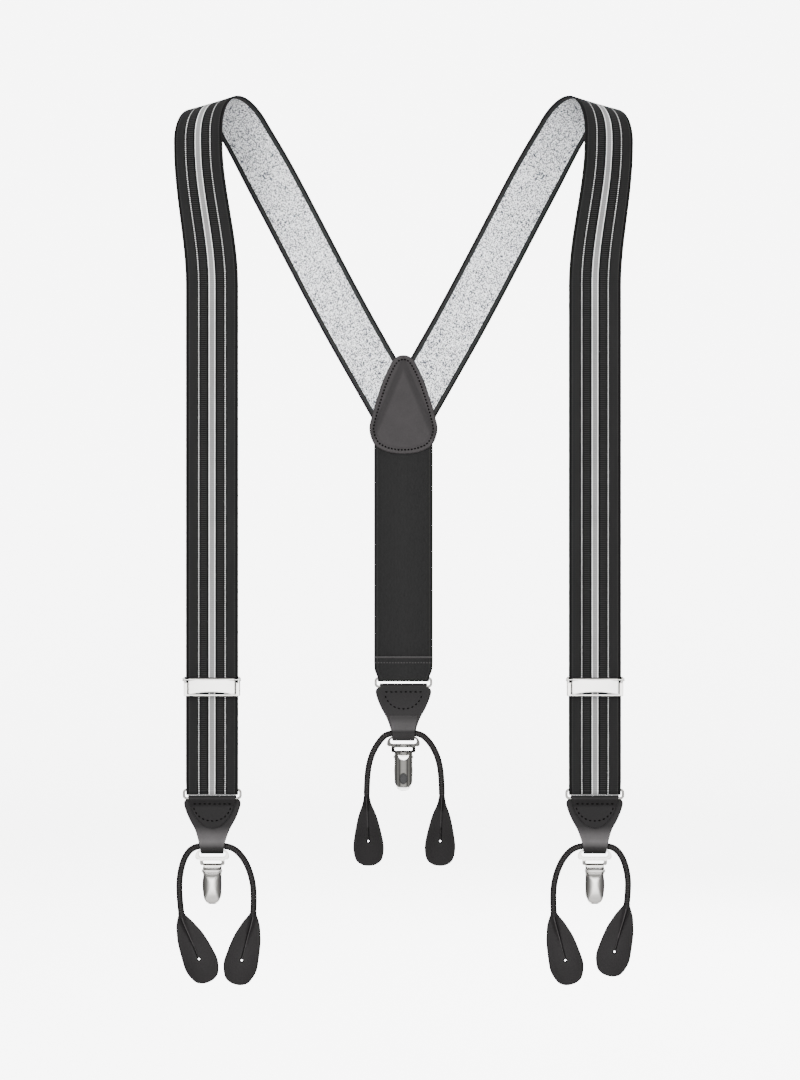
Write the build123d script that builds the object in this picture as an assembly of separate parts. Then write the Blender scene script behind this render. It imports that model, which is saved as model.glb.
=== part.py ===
from build123d import *
import math
import os

# Y-back dress suspenders, hanging from the shoulders.
#
# Two striped webbing straps hang down the front, fold over the shoulders and meet at a
# leather yoke behind. A wider black elastic runs down from the yoke. Each of the three
# free ends carries a wire ring, a folded leather tab, a lever clip and a rolled leather
# runner with two button ears. Each front strap turns round its ring and comes back up to
# a slide adjuster with a hinged locking lever.
#
# Frame: +Z up, -Y is the front, +X is to the right as seen from the front.
# The origin is midway between the shoulders, at the height of the inside of the folds.
# All lengths are in millimetres and all angles in degrees.

# ---------------------------------------------------------------- driving dimensions
WEB_W = 35.0  # front webbing
WEB_T = 1.4
ELASTIC_W = 40.0  # rear elastic
LEATHER_T = 1.3

FRONT_Y = -20.3  # middle of the front straps
BACK_Y = 20.3  # middle of the straps and elastic at the back
FRONT_X = 127.7  # middle of a front strap, either side

# shoulder fold: the webbing wraps a cylinder whose axis is tilted and turned
FOLD_R = 24.9
FOLD_WRAP = 160.0
FOLD_YAW = 18.3  # the strap faces outward by this much on the shoulder
FOLD_RISE = 0.235  # rise of the fold's axis per unit across
FOLD_X = 137.0
FOLD_Z = -22.1
LEAN_START = -120.0  # the strap starts to lean outward and turn here
LEAN_END = -26.1
SETTLE = 0.35  # share of the back run in which the strap turns to face squarely back

# yoke
CROSS_Z = -210.0  # the two strap centre lines meet here
BACK_ANGLE = 29.7  # of a back strap at the yoke, from vertical
FLAT_FROM = 60.0  # a back strap is flat from this far before the crossing
FLAT_TO = 34.0  # and is cut from webbing that runs this far past it
SEAM_Z = -204.0  # strap ends butt against the elastic here
PATCH_TOP_Z = -164.4
PATCH_LOW_Z = -232.0
PATCH_WIDE_Z = -215.5
PATCH_HALF_W = 23.3

# heights of the three ring centres
FRONT_RING_Z = -460.1
REAR_RING_Z = -387.5

# wire ring
WIRE_R = 0.8
RING_W = 39.4
RING_PITCH = 5.8  # between the middles of its two long bars
RING_CORNER_R = 2.0
WIRE_CLEAR = 0.1

# slide adjuster
ADJUSTER_Z = -388.1
ADJUSTER_H = 12.4
ADJUSTER_W = 37.2
SHEET_T = 0.8
LEVER_W = 31.0
LEVER_PIN_R = 0.6
LEVER_PIN_Z = 4.6
LEVER_PIN_Y = -3.0
LEVER_BARREL_R = 1.35
THUMB_R = 62.0  # the cover's lower edge is hollowed by this radius
THUMB_DEPTH = 1.5
TEETH = 17
TEETH_HALF_W = 13.6
HEM_H = 11.0  # sewn end of the strap below the adjuster

# how the front strap is divided for the length adjustment
STRAP_SPLIT_Z = -175.0
FOLD_STUB = 9.0

# rear hem
REAR_HEM_H = 15.8

# leather tab, from the middle of its ring
TAB_BAR_Z = -RING_PITCH / 2
CORD_R = 2.1
CORD_Z = -34.1
BAIL_Z = -37.5
TAB_SEW_Z = -23.0  # the loop for the clip opens below this
FLARE = 1.1  # growth in radius of the loop's mouths

# clip, from the middle of its ring
CLIP_PIN_Y = -2.1
CLIP_PIN_Z = -51.0
CLIP_PIN_R = 0.6
CLIP_BARREL_R = 1.45
CLIP_LOW_Z = -72.9
CLIP_SHEET_T = 0.9
BAIL_W = 22.4
BAIL_SLOT_W = 18.0
CLIP_NECK_W = 16.4
CLIP_PLATE_W = 12.2
CHEEK_X = 5.75  # from the clip's middle to each hinge cheek
JAW_PIVOT_Y = 0.65
JAW_PIVOT_Z = -49.2
JAW_T = 0.9

# ears of the button runner
EAR_T = 1.5
EAR_LENGTH = 48.7
FRONT_EAR_W = 22.6
REAR_EAR_W = 20.9
BUTTONHOLE_R = 1.2
BUTTONHOLE_AT = 31.8  # from the cord's end
SLIT_W = 0.5
SLIT_L = 10.0


# ---------------------------------------------------------------- helpers
def span(x0, x1, y0, y1, z0, z1):
    """A box between three pairs of limits."""
    size = Box(x1 - x0, y1 - y0, z1 - z0)
    return Pos((x0 + x1) / 2, (y0 + y1) / 2, (z0 + z1) / 2) * size


def along_x(sketch, half_width):
    """A profile drawn as (y, z), extruded both ways along X."""
    return extrude(Plane.YZ * sketch, half_width, both=True)


def along_y(sketch, y0, y1):
    """A profile drawn as (x, z), extruded from y0 to y1."""
    return extrude(Plane.XZ.offset(-y1) * sketch, y1 - y0)


def rod_x(radius, x0, x1, y, z):
    """A round bar along X."""
    bar = Cylinder(radius, x1 - x0, rotation=(0, 90, 0))
    return Pos((x0 + x1) / 2, y, z) * bar


def disc(radius, y, z):
    return Pos(y, z) * Circle(radius)


def outline(points):
    """A closed smooth-sided face, symmetric about x = 0, from (half width, z) points."""
    right = [(x, z) for x, z in points]
    left = [(-x, z) for x, z in points]
    edges = Spline(*right) + Line(right[-1], left[-1]) + Spline(*left)
    edges += Line(left[0], right[0])
    return make_face(edges)


def smooth(t):
    t = min(1.0, max(0.0, t))
    return t * t * (3 - 2 * t)


# ---------------------------------------------------------------- strap over the shoulder
def lean(z):
    """0 on the straight front run, 1 at the shoulder fold."""
    return smooth((z - LEAN_START) / (LEAN_END - LEAN_START))


def fold_axes():
    """The fold's axis, the way into the fold, and the way up before it."""
    yaw = math.radians(FOLD_YAW)
    axis = Vector(math.cos(yaw), -math.sin(yaw), FOLD_RISE * math.cos(yaw)).normalized()
    up = (Vector(0, 0, 1) - axis * axis.Z).normalized()
    return axis, axis.cross(up) * -1, up


def fold_station(angle):
    """Middle, width direction and travel of the webbing at an angle round the fold."""
    axis, inward, up = fold_axes()
    turn = math.radians(angle)
    slide = axis.Z / math.sqrt(1 - axis.Z**2)
    start = Vector(-FOLD_X, FRONT_Y, FOLD_Z)
    middle = start + (inward * (1 - math.cos(turn)) + up * math.sin(turn)) * FOLD_R
    middle += axis * (FOLD_R * turn * slide)
    travel = inward * math.sin(turn) + up * math.cos(turn) + axis * slide
    travel = travel.normalized()
    width = (axis - travel * travel.dot(axis)).normalized()
    return middle, width, travel


def front_station(z):
    yaw = math.radians(FOLD_YAW) * lean(z)
    x = -FRONT_X - (FOLD_X - FRONT_X) * lean(z)
    width = Vector(math.cos(yaw), -math.sin(yaw), 0)
    return Vector(x, FRONT_Y, z), width, Vector(0, 0, 1)


def yoke_station(past):
    """On the flat stretch under the yoke, at a distance past the crossing."""
    slant = math.radians(BACK_ANGLE)
    travel = Vector(math.sin(slant), 0, -math.cos(slant))
    width = Vector(math.cos(slant), 0, math.sin(slant))
    return Vector(0, BACK_Y, CROSS_Z) + travel * past, width, travel


def back_station(t):
    """Along the back run, from the fold at t = 0 to the flat stretch at t = 1."""
    start, width0, travel0 = fold_station(FOLD_WRAP)
    end, flat, travel1 = yoke_station(-FLAT_FROM)
    reach = (end - start).length
    h00, h10 = 2 * t**3 - 3 * t**2 + 1, t**3 - 2 * t**2 + t
    h01, h11 = -2 * t**3 + 3 * t**2, t**3 - t**2
    middle = start * h00 + travel0 * (h10 * reach) + end * h01 + travel1 * (h11 * reach)
    d00, d10 = 6 * t**2 - 6 * t, 3 * t**2 - 4 * t + 1
    d01, d11 = -6 * t**2 + 6 * t, 3 * t**2 - 2 * t
    travel = start * d00 + travel0 * (d10 * reach) + end * d01 + travel1 * (d11 * reach)
    travel = travel.normalized()
    settle = smooth(t / SETTLE)
    width = width0 * (1 - settle) + flat * settle
    width = (width - travel * travel.dot(width)).normalized()
    return middle, width, travel


def webbing_section(station):
    middle, width, travel = station
    travel = (travel - width * width.dot(travel)).normalized()
    return Plane(origin=middle, x_dir=width, z_dir=travel) * Rectangle(WEB_W, WEB_T)


def shoulder_strap():
    """The left strap: straight front run, shoulder fold, back run to the yoke's seam."""
    lean_steps, fold_steps, back_steps = 9, 14, 10
    stations = [front_station(STRAP_SPLIT_Z)]
    for i in range(lean_steps + 1):
        stations.append(front_station(LEAN_START + (LEAN_END - LEAN_START) * i / lean_steps))
    for i in range(fold_steps + 1):
        stations.append(fold_station(FOLD_WRAP * i / fold_steps))
    for i in range(1, back_steps + 1):
        stations.append(back_station(i / back_steps))
    stations.append(yoke_station(FLAT_TO))
    strap = loft([webbing_section(s) for s in stations], ruled=True)
    seam_gap = 0.2
    far = 400
    keep = span(-far, -seam_gap, -far, far, SEAM_Z, far)
    return strap & keep


# ---------------------------------------------------------------- webbing at the front ends
def ribbon(width, y0, y1, z0, z1):
    return span(-width / 2, width / 2, y0, y1, z0, z1)


def turned_end(width, near_top, far_top):
    """Webbing turned round the upper bar of a ring, about the ring's middle.

    near_top is the top of the outer layer and far_top that of the inner layer."""
    inner = WIRE_R + WIRE_CLEAR
    outer = inner + WEB_T
    bar_z = RING_PITCH / 2
    ring = disc(outer, 0, bar_z) - disc(inner, 0, bar_z)
    ring = ring & (Pos(0, bar_z - outer / 2) * Rectangle(2 * outer, outer))
    turned = along_x(ring, width / 2)
    turned += ribbon(width, -outer, -inner, bar_z, near_top)
    turned += ribbon(width, inner, outer, bar_z, far_top)
    return turned


def layer_y():
    """Distance from the middle of a layer of webbing to the middle of its ring."""
    return WIRE_R + WIRE_CLEAR + WEB_T / 2


# ---------------------------------------------------------------- ring
def end_ring():
    """Wire ring, in the XZ plane about its own middle."""
    width = RING_W - 2 * WIRE_R
    path = Plane.XZ * RectangleRounded(width, RING_PITCH, RING_CORNER_R)
    wire = path.wire()
    section = Plane(origin=wire.position_at(0), z_dir=wire.tangent_at(0)) * Circle(WIRE_R)
    return sweep(section, path=wire)


# ---------------------------------------------------------------- leather tab
def tab_panel_outline():
    """Half widths of the tab from the ring down to its lower loop."""
    shape = [(16.2, 0.0), (17.2, -2.6), (19.0, -5.8), (18.0, -10.6), (15.3, -17.2)]
    shape += [(11.7, -23.8), (9.3, -30.4), (8.0, -35.8), (7.4, -42.0)]
    return outline(shape)


def leather_tab():
    """Folded leather: front flap, main panel, and the loop for the runner and the clip."""
    inner = WIRE_R + WIRE_CLEAR
    outer = inner + LEATHER_T
    bar = TAB_BAR_Z
    top = disc(outer, 0, bar) - disc(inner, 0, bar)
    top = top & (Pos(0, bar + outer / 2) * Rectangle(2 * outer, outer))
    panel = Pos((inner + outer) / 2, (bar + TAB_SEW_Z) / 2)
    panel = panel * Rectangle(LEATHER_T, bar - TAB_SEW_Z)
    room = CORD_R + 0.15
    pinch = 1.05
    sew_y = (inner + outer) / 2
    skin = [disc(room + LEATHER_T, 0, CORD_Z), disc(pinch + LEATHER_T, 0, BAIL_Z)]
    skin += [disc(LEATHER_T / 2, sew_y, TAB_SEW_Z)]
    core = [disc(room, 0, CORD_Z), disc(pinch, 0, BAIL_Z)]
    core += [disc(0.05, sew_y, TAB_SEW_Z - 3.0)]
    loop = hull_of(skin) - hull_of(core)
    body = along_x(top + panel + loop, 20.0) & along_y(tab_panel_outline(), -9, 9)
    for side in (-1, 1):
        body -= cord_flare(side)
    return body + tab_flap(inner, outer)


def cord_flare(side):
    """Cone that opens each mouth of the loop, where the cord starts to bend down."""
    start, length, room = 3.0, 7.0, CORD_R + 0.15
    flare = Cone(room, room + FLARE, length, rotation=(0, 90 * side, 0))
    return Pos(side * (start + length / 2), 0, CORD_Z) * flare


def hull_of(faces):
    edges = [e for f in faces for e in f.edges()]
    return make_hull(edges)


def tab_flap(inner, outer):
    """Short front flap, sewn down on the panel, with a rounded end."""
    bar, lies_flat, low = TAB_BAR_Z, -8.0, -22.9
    side = [(-outer, bar), (-inner, bar), (inner, lies_flat), (inner, low - 1)]
    side += [(inner - LEATHER_T, low - 1), (inner - LEATHER_T, lies_flat)]
    profile = make_face(Polyline(*side, close=True))
    half = 15.6
    rounded = Spline((half, bar), (14.4, -9.0), (10.6, -16.4), (5.8, -21.2), (0, low),
                     (-5.8, -21.2), (-10.6, -16.4), (-14.4, -9.0), (-half, bar))
    face = make_face(rounded + Line((-half, bar), (half, bar)))
    return along_x(profile, 20.0) & along_y(face, -9, 9)


# ---------------------------------------------------------------- clip
def clip_body():
    """Stamped plate: bail, neck, back plate with its openings, and two hinge cheeks."""
    bail_y, plate_y = (-0.5, 0.5), (1.5, 1.5 + CLIP_SHEET_T)
    side = [(bail_y[0], BAIL_Z + 0.75), (bail_y[1], BAIL_Z + 0.75), (bail_y[1], -44.2)]
    side += [(plate_y[1], -47.4), (plate_y[1], -71.4), (plate_y[0], -71.4)]
    side += [(plate_y[0], -47.8), (bail_y[0], -44.6)]
    profile = make_face(Polyline(*side, close=True))
    bail_top, bail_low = BAIL_Z + 0.75, -43.6
    bail = Pos(0, (bail_top + bail_low) / 2) * Rectangle(BAIL_W, bail_top - bail_low)
    bail = fillet(bail.vertices().sort_by(Axis.Y)[2:], 4.8)
    bail = fillet(bail.vertices().sort_by(Axis.Y)[:2], 1.6)
    slot = Pos(0, -40.1) * RectangleRounded(BAIL_SLOT_W, 3.6, 1.7)
    neck = Pos(0, -45.0) * RectangleRounded(CLIP_NECK_W, 5.2, 1.2)
    plate = Pos(0, -59.0) * Rectangle(CLIP_PLATE_W, 24.8)
    plate = fillet(plate.vertices().sort_by(Axis.Y)[:2], 4.5)
    hinge_window = (Pos(0, -49.4) * Circle(3.6)) & (Pos(0, -51.6) * Rectangle(8, 4.4))
    oval = Pos(0, -65.4) * Ellipse(2.5, 3.7)
    neck_window = Pos(0, -45.4) * SlotOverall(12.4, 2.2)
    face = bail + neck + plate - slot - hinge_window - oval - neck_window
    body = along_x(profile, 12.0) & along_y(face, -9, 9)
    cheek = [(plate_y[0], -48.6), (-3.0, -49.6), (-3.4, -51.0), (-2.4, -52.6)]
    cheek += [(plate_y[0], -53.4)]
    cheek_face = make_face(Polyline(*cheek, close=True))
    hole = disc(CLIP_PIN_R + 0.05, CLIP_PIN_Y, CLIP_PIN_Z)
    for side_x in (-CHEEK_X, CHEEK_X):
        body += Pos(side_x, 0, 0) * along_x(cheek_face - hole, 0.35)
    return body


def clip_pin():
    """Hinge pin of the clip, with small heads outside the cheeks."""
    pin = rod_x(CLIP_PIN_R, -6.8, 6.8, CLIP_PIN_Y, CLIP_PIN_Z)
    for x0, x1 in ((-6.8, -6.2), (6.2, 6.8)):
        pin += rod_x(0.9, x0, x1, CLIP_PIN_Y, CLIP_PIN_Z)
    return pin


def clip_jaw():
    """Inner jaw plate, hooked through the hinge window, with a lip under the back plate."""
    near, far = JAW_PIVOT_Y - JAW_T / 2, JAW_PIVOT_Y + JAW_T / 2
    side = [(near, JAW_PIVOT_Z), (far, JAW_PIVOT_Z), (far, -71.9), (2.3, -71.9), (2.3, -73.2)]
    side += [(1.2, -73.6), (near, -73.0)]
    profile = make_face(Polyline(*side, close=True)) + disc(JAW_T / 2, JAW_PIVOT_Y, JAW_PIVOT_Z)
    face = Pos(0, -61.3) * Rectangle(10.4, 24.8)
    face = fillet(face.vertices().sort_by(Axis.Y)[:2], 4.6)
    face = fillet(face.vertices().sort_by(Axis.Y)[2:], 2.0)
    jaw = along_x(profile, 7.0) & along_y(face, -9, 9)
    hook = span(-2.6, 2.6, 1.0, 2.2, -50.2, -49.5)
    return jaw + hook


def clip_pad():
    """Moulded grip with cross ribs, seated on the jaw."""
    pad = span(-4.2, 4.2, 1.1, 1.25, -71.3, -62.0)
    for i in range(6):
        z = -70.6 + 1.6 * i
        pad += span(-3.9, 3.9, 1.2, 1.42, z, z + 0.8)
    return pad


def lever_shell(inset):
    """Domed bullet shape of the clip's lever, or its cavity when inset is not zero."""
    low = CLIP_LOW_Z + inset
    half = [(5.0 - inset, -52.6), (6.1 - inset, -56.5), (6.35 - inset, -61.0)]
    half += [(5.7 - inset, -67.0), (4.0 - inset, low + 1.6)]
    tip = Spline(*half, (0, low), *[(-x, z) for x, z in reversed(half)])
    face = make_face(tip + Line((half[0][0], half[0][1]), (-half[0][0], half[0][1])))
    top, back, toe = -52.6, -0.15, -1.6
    dome = Spline((-2.6 + inset, top), (-4.2 + inset, -54.6), (-4.9 + inset, -58.6),
                  (-4.75 + inset, -63.4), (-3.7 + inset, -69.0), (toe, low))
    rest = Polyline((toe, low), (back, low), (back, top), (-2.6 + inset, top))
    profile = make_face(dome + rest)
    crown = Pos(0, 3.3, -63) * Cylinder(8.25 - inset, 30)
    return along_x(profile, 8) & along_y(face, -9, 9) & crown


def clip_lever():
    """Thumb lever: barrel round the pin and a domed shell, hollow behind."""
    shell = lever_shell(0) - Pos(0, 0.3, 0) * lever_shell(0.75)
    barrel = rod_x(CLIP_BARREL_R, -5.1, 5.1, CLIP_PIN_Y, CLIP_PIN_Z)
    web = span(-4.6, 4.6, -2.9, -1.5, -53.6, -51.6)
    bore = rod_x(CLIP_PIN_R + 0.05, -6, 6, CLIP_PIN_Y, CLIP_PIN_Z)
    return shell + barrel + web - bore


# ---------------------------------------------------------------- button runner
# Routes run from one ear to the other through the tab, as (x, z) from the ring's middle.
INNER_RUN = [(9.1, -34.1), (19.6, -40.3), (25.6, -52.0), (28.2, -66.0), (27.4, -79.4)]
OUTER_RUN = [(-20.6, -79.6), (-22.3, -66.0), (-21.5, -52.0), (-17.6, -39.8), (-8.9, -34.1)]
SHORT_RUN = [(-21.3, -73.8), (-22.6, -62.5), (-21.6, -51.0), (-17.6, -39.8), (-8.9, -34.1)]
REAR_RUN = [(8.6, -34.1), (16.2, -39.4), (22.0, -49.6), (24.8, -62.5), (25.0, -76.4)]
REAR_RUN_RIGHT = [(-26.2, -76.4), (-26.0, -62.5), (-23.2, -49.6), (-17.3, -39.4), (-8.6, -34.1)]
LEFT_ROUTE = OUTER_RUN + INNER_RUN
RIGHT_ROUTE = SHORT_RUN + INNER_RUN  # hangs a little shorter at its outer ear
REAR_ROUTE = REAR_RUN_RIGHT + REAR_RUN
# the ears' lower ends lean towards the clip
LEFT_EAR_TILTS = (22.0, -14.0)
RIGHT_EAR_TILTS = (15.0, -14.0)
REAR_EAR_TILTS = (2.0, -2.0)
# half widths of an ear, as shares of its greatest, from the cord's end down to its foot
FRONT_EAR = [(0.21, 0.0), (0.5, -6.2), (0.68, -12.0), (0.82, -17.5), (0.96, -28.0)]
FRONT_EAR += [(1.0, -37.0), (0.75, -44.9)]
REAR_EAR = [(0.18, 0.0), (0.29, -6.2), (0.51, -11.9), (0.68, -17.5), (0.92, -28.8)]
REAR_EAR += [(1.0, -37.0), (0.84, -44.5)]


def runner_cord(route):
    """Rolled leather between the ears: straight runs joined by tangent arcs."""
    points = [Vector(x, 0, z) for x, z in route]
    radii = []
    for a, b, c in zip(points, points[1:], points[2:]):
        run = min((b - a).length, (c - b).length)
        half_turn = math.radians((b - a).get_angle(c - b)) / 2
        radii.append(0.45 * run / math.tan(half_turn))
    print("runner bend radii", [round(r, 1) for r in radii])
    path = FilletPolyline(*points, radius=radii)
    section = Plane(origin=points[0], z_dir=points[1] - points[0]) * Circle(CORD_R)
    tube = sweep(section, path=path)
    print("tube volume over section times length", tube.volume / (math.pi * CORD_R**2 * path.length))
    return tube


def button_ear(at, tilt, half):
    """Flat leather ear hanging from the cord's end, with a keyhole buttonhole."""
    low = (0, -EAR_LENGTH)
    sides = Spline(*half, low, *[(-x, z) for x, z in reversed(half)])
    face = make_face(sides + Line((-half[0][0], 0), (half[0][0], 0)))
    hole_z = -BUTTONHOLE_AT
    face -= Pos(0, hole_z) * Circle(BUTTONHOLE_R)
    face -= Pos(0, hole_z + SLIT_L / 2) * Rectangle(SLIT_W, SLIT_L)
    ear = along_y(face, -EAR_T / 2, EAR_T / 2)
    x, z = at
    return Pos(x, 0, z) * Rot(0, -tilt, 0) * ear


def runner(route, tilts, width, shape):
    """The rolled cord, and its first and last ear."""
    gap = 0.02
    half = [(share * width / 2, z) for share, z in shape]
    ears = []
    for (x, z), tilt in zip((route[0], route[-1]), tilts):
        drop = half[0][0] * math.sin(math.radians(abs(tilt))) + gap
        ears.append(button_ear((x, z - drop), tilt, half))
    return runner_cord(route), ears[0], ears[1]


# ---------------------------------------------------------------- slide adjuster
def adjuster_frame():
    """Folded sheet frame, about the middle of the strap that runs through it."""
    half_w, half_h = ADJUSTER_W / 2, ADJUSTER_H / 2
    plate_y = 2.35
    frame = span(-half_w, half_w, plate_y, plate_y + SHEET_T, -half_h, half_h)
    frame -= span(-half_w + 0.7, half_w - 0.7, 2, 4, -half_h + 2.1, half_h - 2.4)
    for s in (-1, 1):
        x0, x1 = sorted((s * (half_w - 0.7), s * half_w))
        frame += span(x0, x1, -3.9, plate_y + SHEET_T, -half_h, half_h)
        f0, f1 = sorted((s * (half_w - 2.4), s * half_w))
        frame += span(f0, f1, -3.9, -3.2, -half_h, 2.6)
    frame += span(-half_w, half_w, -3.9, -3.2, -half_h, -half_h + 1.0)
    return frame - rod_x(LEVER_PIN_R + 0.05, -half_w - 1, half_w + 1, LEVER_PIN_Y, LEVER_PIN_Z)


def adjuster_lever():
    """Crowned cover plate with a rolled top round the pin and a row of teeth behind."""
    half = LEVER_W / 2
    barrel = rod_x(LEVER_BARREL_R, -half, half, LEVER_PIN_Y, LEVER_PIN_Z)
    front, back, low = -4.35, -3.6, -5.1
    crown = ThreePointArc((-half, front + 0.35), (0, front - 0.25), (half, front + 0.35))
    rim = ThreePointArc((half, back + 0.35), (0, back - 0.1), (-half, back + 0.35))
    joins = Line((half, front + 0.35), (half, back + 0.35))
    joins += Line((-half, back + 0.35), (-half, front + 0.35))
    plate = extrude(make_face(crown + rim + joins), LEVER_PIN_Z - low)
    plate = Pos(0, 0, low) * plate
    thumb = Pos(0, low + THUMB_DEPTH - THUMB_R) * Circle(THUMB_R)
    plate -= along_y(thumb, -9, 0)
    lever = barrel + plate
    lever += span(-TEETH_HALF_W, TEETH_HALF_W, back - 0.3, -2.0, 0.3, 1.1)
    pitch = 2 * TEETH_HALF_W / TEETH
    for i in range(TEETH):
        x = -TEETH_HALF_W + pitch * i
        tooth = Polyline((x, -2.0), (x + pitch, -2.0), (x + pitch / 2, -0.95), close=True)
        lever += Pos(0, 0, 0.3) * extrude(make_face(tooth), 0.8)
    return lever - rod_x(LEVER_PIN_R + 0.05, -half - 1, half + 1, LEVER_PIN_Y, LEVER_PIN_Z)


def adjuster_pin():
    """Hinge pin of the adjuster's lever, riveted outside the frame."""
    half_w = ADJUSTER_W / 2
    pin = rod_x(LEVER_PIN_R, -half_w - 0.9, half_w + 0.9, LEVER_PIN_Y, LEVER_PIN_Z)
    for x0, x1 in ((-half_w - 0.9, -half_w - 0.1), (half_w + 0.1, half_w + 0.9)):
        pin += rod_x(0.95, x0, x1, LEVER_PIN_Y, LEVER_PIN_Z)
    return pin


def strap_end():
    """The strap's sewn end: over the frame's lower bar from behind, and down inside."""
    bar_top = -ADJUSTER_H / 2 + 2.1
    inner = 0.5
    middle_y, middle_z = 2.35 + SHEET_T / 2, bar_top + 0.05
    outer = inner + WEB_T
    over = disc(outer, middle_y, middle_z) - disc(inner, middle_y, middle_z)
    over = over & (Pos(middle_y, middle_z + outer / 2) * Rectangle(2 * outer, outer))
    low = -ADJUSTER_H / 2 - HEM_H
    end = along_x(over, WEB_W / 2 - 0.2)
    for y0, y1 in ((middle_y - outer, middle_y - inner), (middle_y + inner, middle_y + outer)):
        end += ribbon(WEB_W - 0.4, y0, y1, low, middle_z)
    return end


def strap_return(low, high):
    """The strap's way back up behind, from its turn at the ring to its sewn end.

    low is the height of its foot and high that of its top, both from the ring's middle."""
    foot = layer_y()
    head = 2.35 + SHEET_T / 2 + 0.5 + WEB_T / 2 - layer_y()
    half = WEB_T / 2
    side = [(foot - half, low), (foot + half, low), (head + half, high), (head - half, high)]
    return along_x(make_face(Polyline(*side, close=True)), WEB_W / 2 - 0.2)


# ---------------------------------------------------------------- yoke and rear elastic
def yoke_patch(y0, y1):
    """Teardrop of leather over the meeting of the straps."""
    right = [(0, PATCH_TOP_Z), (6.4, -167.3), (13.2, -179.9), (17.8, -193.0), (21.6, -206.0)]
    right += [(PATCH_HALF_W, PATCH_WIDE_Z), (19.6, -225.6), (11.0, -230.6), (0, PATCH_LOW_Z)]
    left = [(-x, z) for x, z in reversed(right)]
    face = make_face(Spline(*right[:-1], *left[:-1], periodic=True))
    return along_y(face, y0, y1)


def rear_elastic():
    """From the straps' ends in the yoke down to the hem, tapered into the ring's width."""
    low = REAR_RING_Z + RING_PITCH / 2 + REAR_HEM_H
    return Pos(0, BACK_Y, 0) * ribbon(ELASTIC_W, -WEB_T / 2, WEB_T / 2, low, SEAM_Z - 0.3)


def rear_hem():
    """The elastic's sewn hem round the ring, about the ring's middle."""
    top = RING_PITCH / 2 + REAR_HEM_H
    hem = turned_end(ELASTIC_W, top - 0.05, top - 1.0)
    lower = Pos(0, 1.2) * Rectangle(34.4, 4.6)
    taper = [(17.2, 0), (17.4, 3.4), (20.0, 8.6), (20.0, 30)]
    taper += [(-x, z) for x, z in reversed(taper)]
    face = lower + make_face(Polyline(*taper, close=True))
    return hem & along_y(face, -9, 9)


# ---------------------------------------------------------------- ends and their places
def end_parts(route, tilts, ear_width, ear_shape):
    """Everything on one ring, about the ring's middle, with its outer face towards -Y."""
    cord, ear_a, ear_b = runner(route, tilts, ear_width, ear_shape)
    return {
        "end_ring": end_ring(),
        "leather_tab": leather_tab(),
        "clip_body": clip_body(),
        "clip_pin": clip_pin(),
        "clip_jaw": clip_jaw(),
        "clip_pad": clip_pad(),
        "clip_lever": clip_lever(),
        "runner_cord": cord,
        "runner_ear_outer": ear_a,
        "runner_ear_inner": ear_b,
    }


def front_parts(route, tilts):
    """A front end as it hangs on the left."""
    parts = end_parts(route, tilts, FRONT_EAR_W, FRONT_EAR)
    stub_top = FOLD_STUB
    adjuster_rise = ADJUSTER_Z - FRONT_RING_Z
    hem_low = adjuster_rise - ADJUSTER_H / 2 - HEM_H
    parts["strap_fold"] = turned_end(WEB_W - 0.4, stub_top, stub_top)
    parts["strap_return"] = strap_return(stub_top + 0.02, hem_low - 0.02)
    at_ring = Pos(-FRONT_X, FRONT_Y + layer_y(), FRONT_RING_Z)
    placed = {name: at_ring * shape for name, shape in parts.items()}
    at_slide = Pos(-FRONT_X, FRONT_Y, ADJUSTER_Z)
    placed["adjuster_frame"] = at_slide * adjuster_frame()
    placed["adjuster_lever"] = at_slide * adjuster_lever()
    placed["adjuster_pin"] = at_slide * adjuster_pin()
    placed["strap_end"] = at_slide * strap_end()
    low = FRONT_RING_Z + stub_top + 0.02
    half = WEB_T / 2
    lower = ribbon(WEB_W, FRONT_Y - half, FRONT_Y + half, low, STRAP_SPLIT_Z - 0.02)
    placed["strap_lower"] = Pos(-FRONT_X, 0, 0) * lower
    placed["strap"] = shoulder_strap()
    return placed


def rear_parts():
    """The rear end: the same pieces, turned to face backwards."""
    parts = end_parts(REAR_ROUTE, REAR_EAR_TILTS, REAR_EAR_W, REAR_EAR)
    names = {"runner_ear_outer": "runner_ear_right", "runner_ear_inner": "runner_ear_left"}
    place = Pos(0, BACK_Y - layer_y(), REAR_RING_Z) * Rot(0, 0, 180)
    placed = {names.get(n, n) + "_rear": place * shape for n, shape in parts.items()}
    placed["rear_hem"] = place * rear_hem()
    placed["rear_elastic"] = rear_elastic()
    return placed


def all_parts():
    found = {}
    for name, shape in front_parts(LEFT_ROUTE, LEFT_EAR_TILTS).items():
        found[name + "_left"] = shape
    for name, shape in front_parts(RIGHT_ROUTE, RIGHT_EAR_TILTS).items():
        found[name + "_right"] = mirror(shape, about=Plane.YZ)
    found.update(rear_parts())
    half, skin = WEB_T / 2 + 0.05, 1.4
    found["yoke_patch_inner"] = yoke_patch(BACK_Y - half - skin, BACK_Y - half)
    found["yoke_patch_outer"] = yoke_patch(BACK_Y + half, BACK_Y + half + skin)
    return found


os.makedirs("parts", exist_ok=True)
for node, solid in all_parts().items():
    export_step(solid, f"parts/{node}.step")
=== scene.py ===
from math import atan2, cos, degrees, exp, pi, radians, sin, sqrt, tan

import bpy
import numpy as np
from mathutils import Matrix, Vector
from mathutils.geometry import delaunay_2d_cdt


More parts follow.
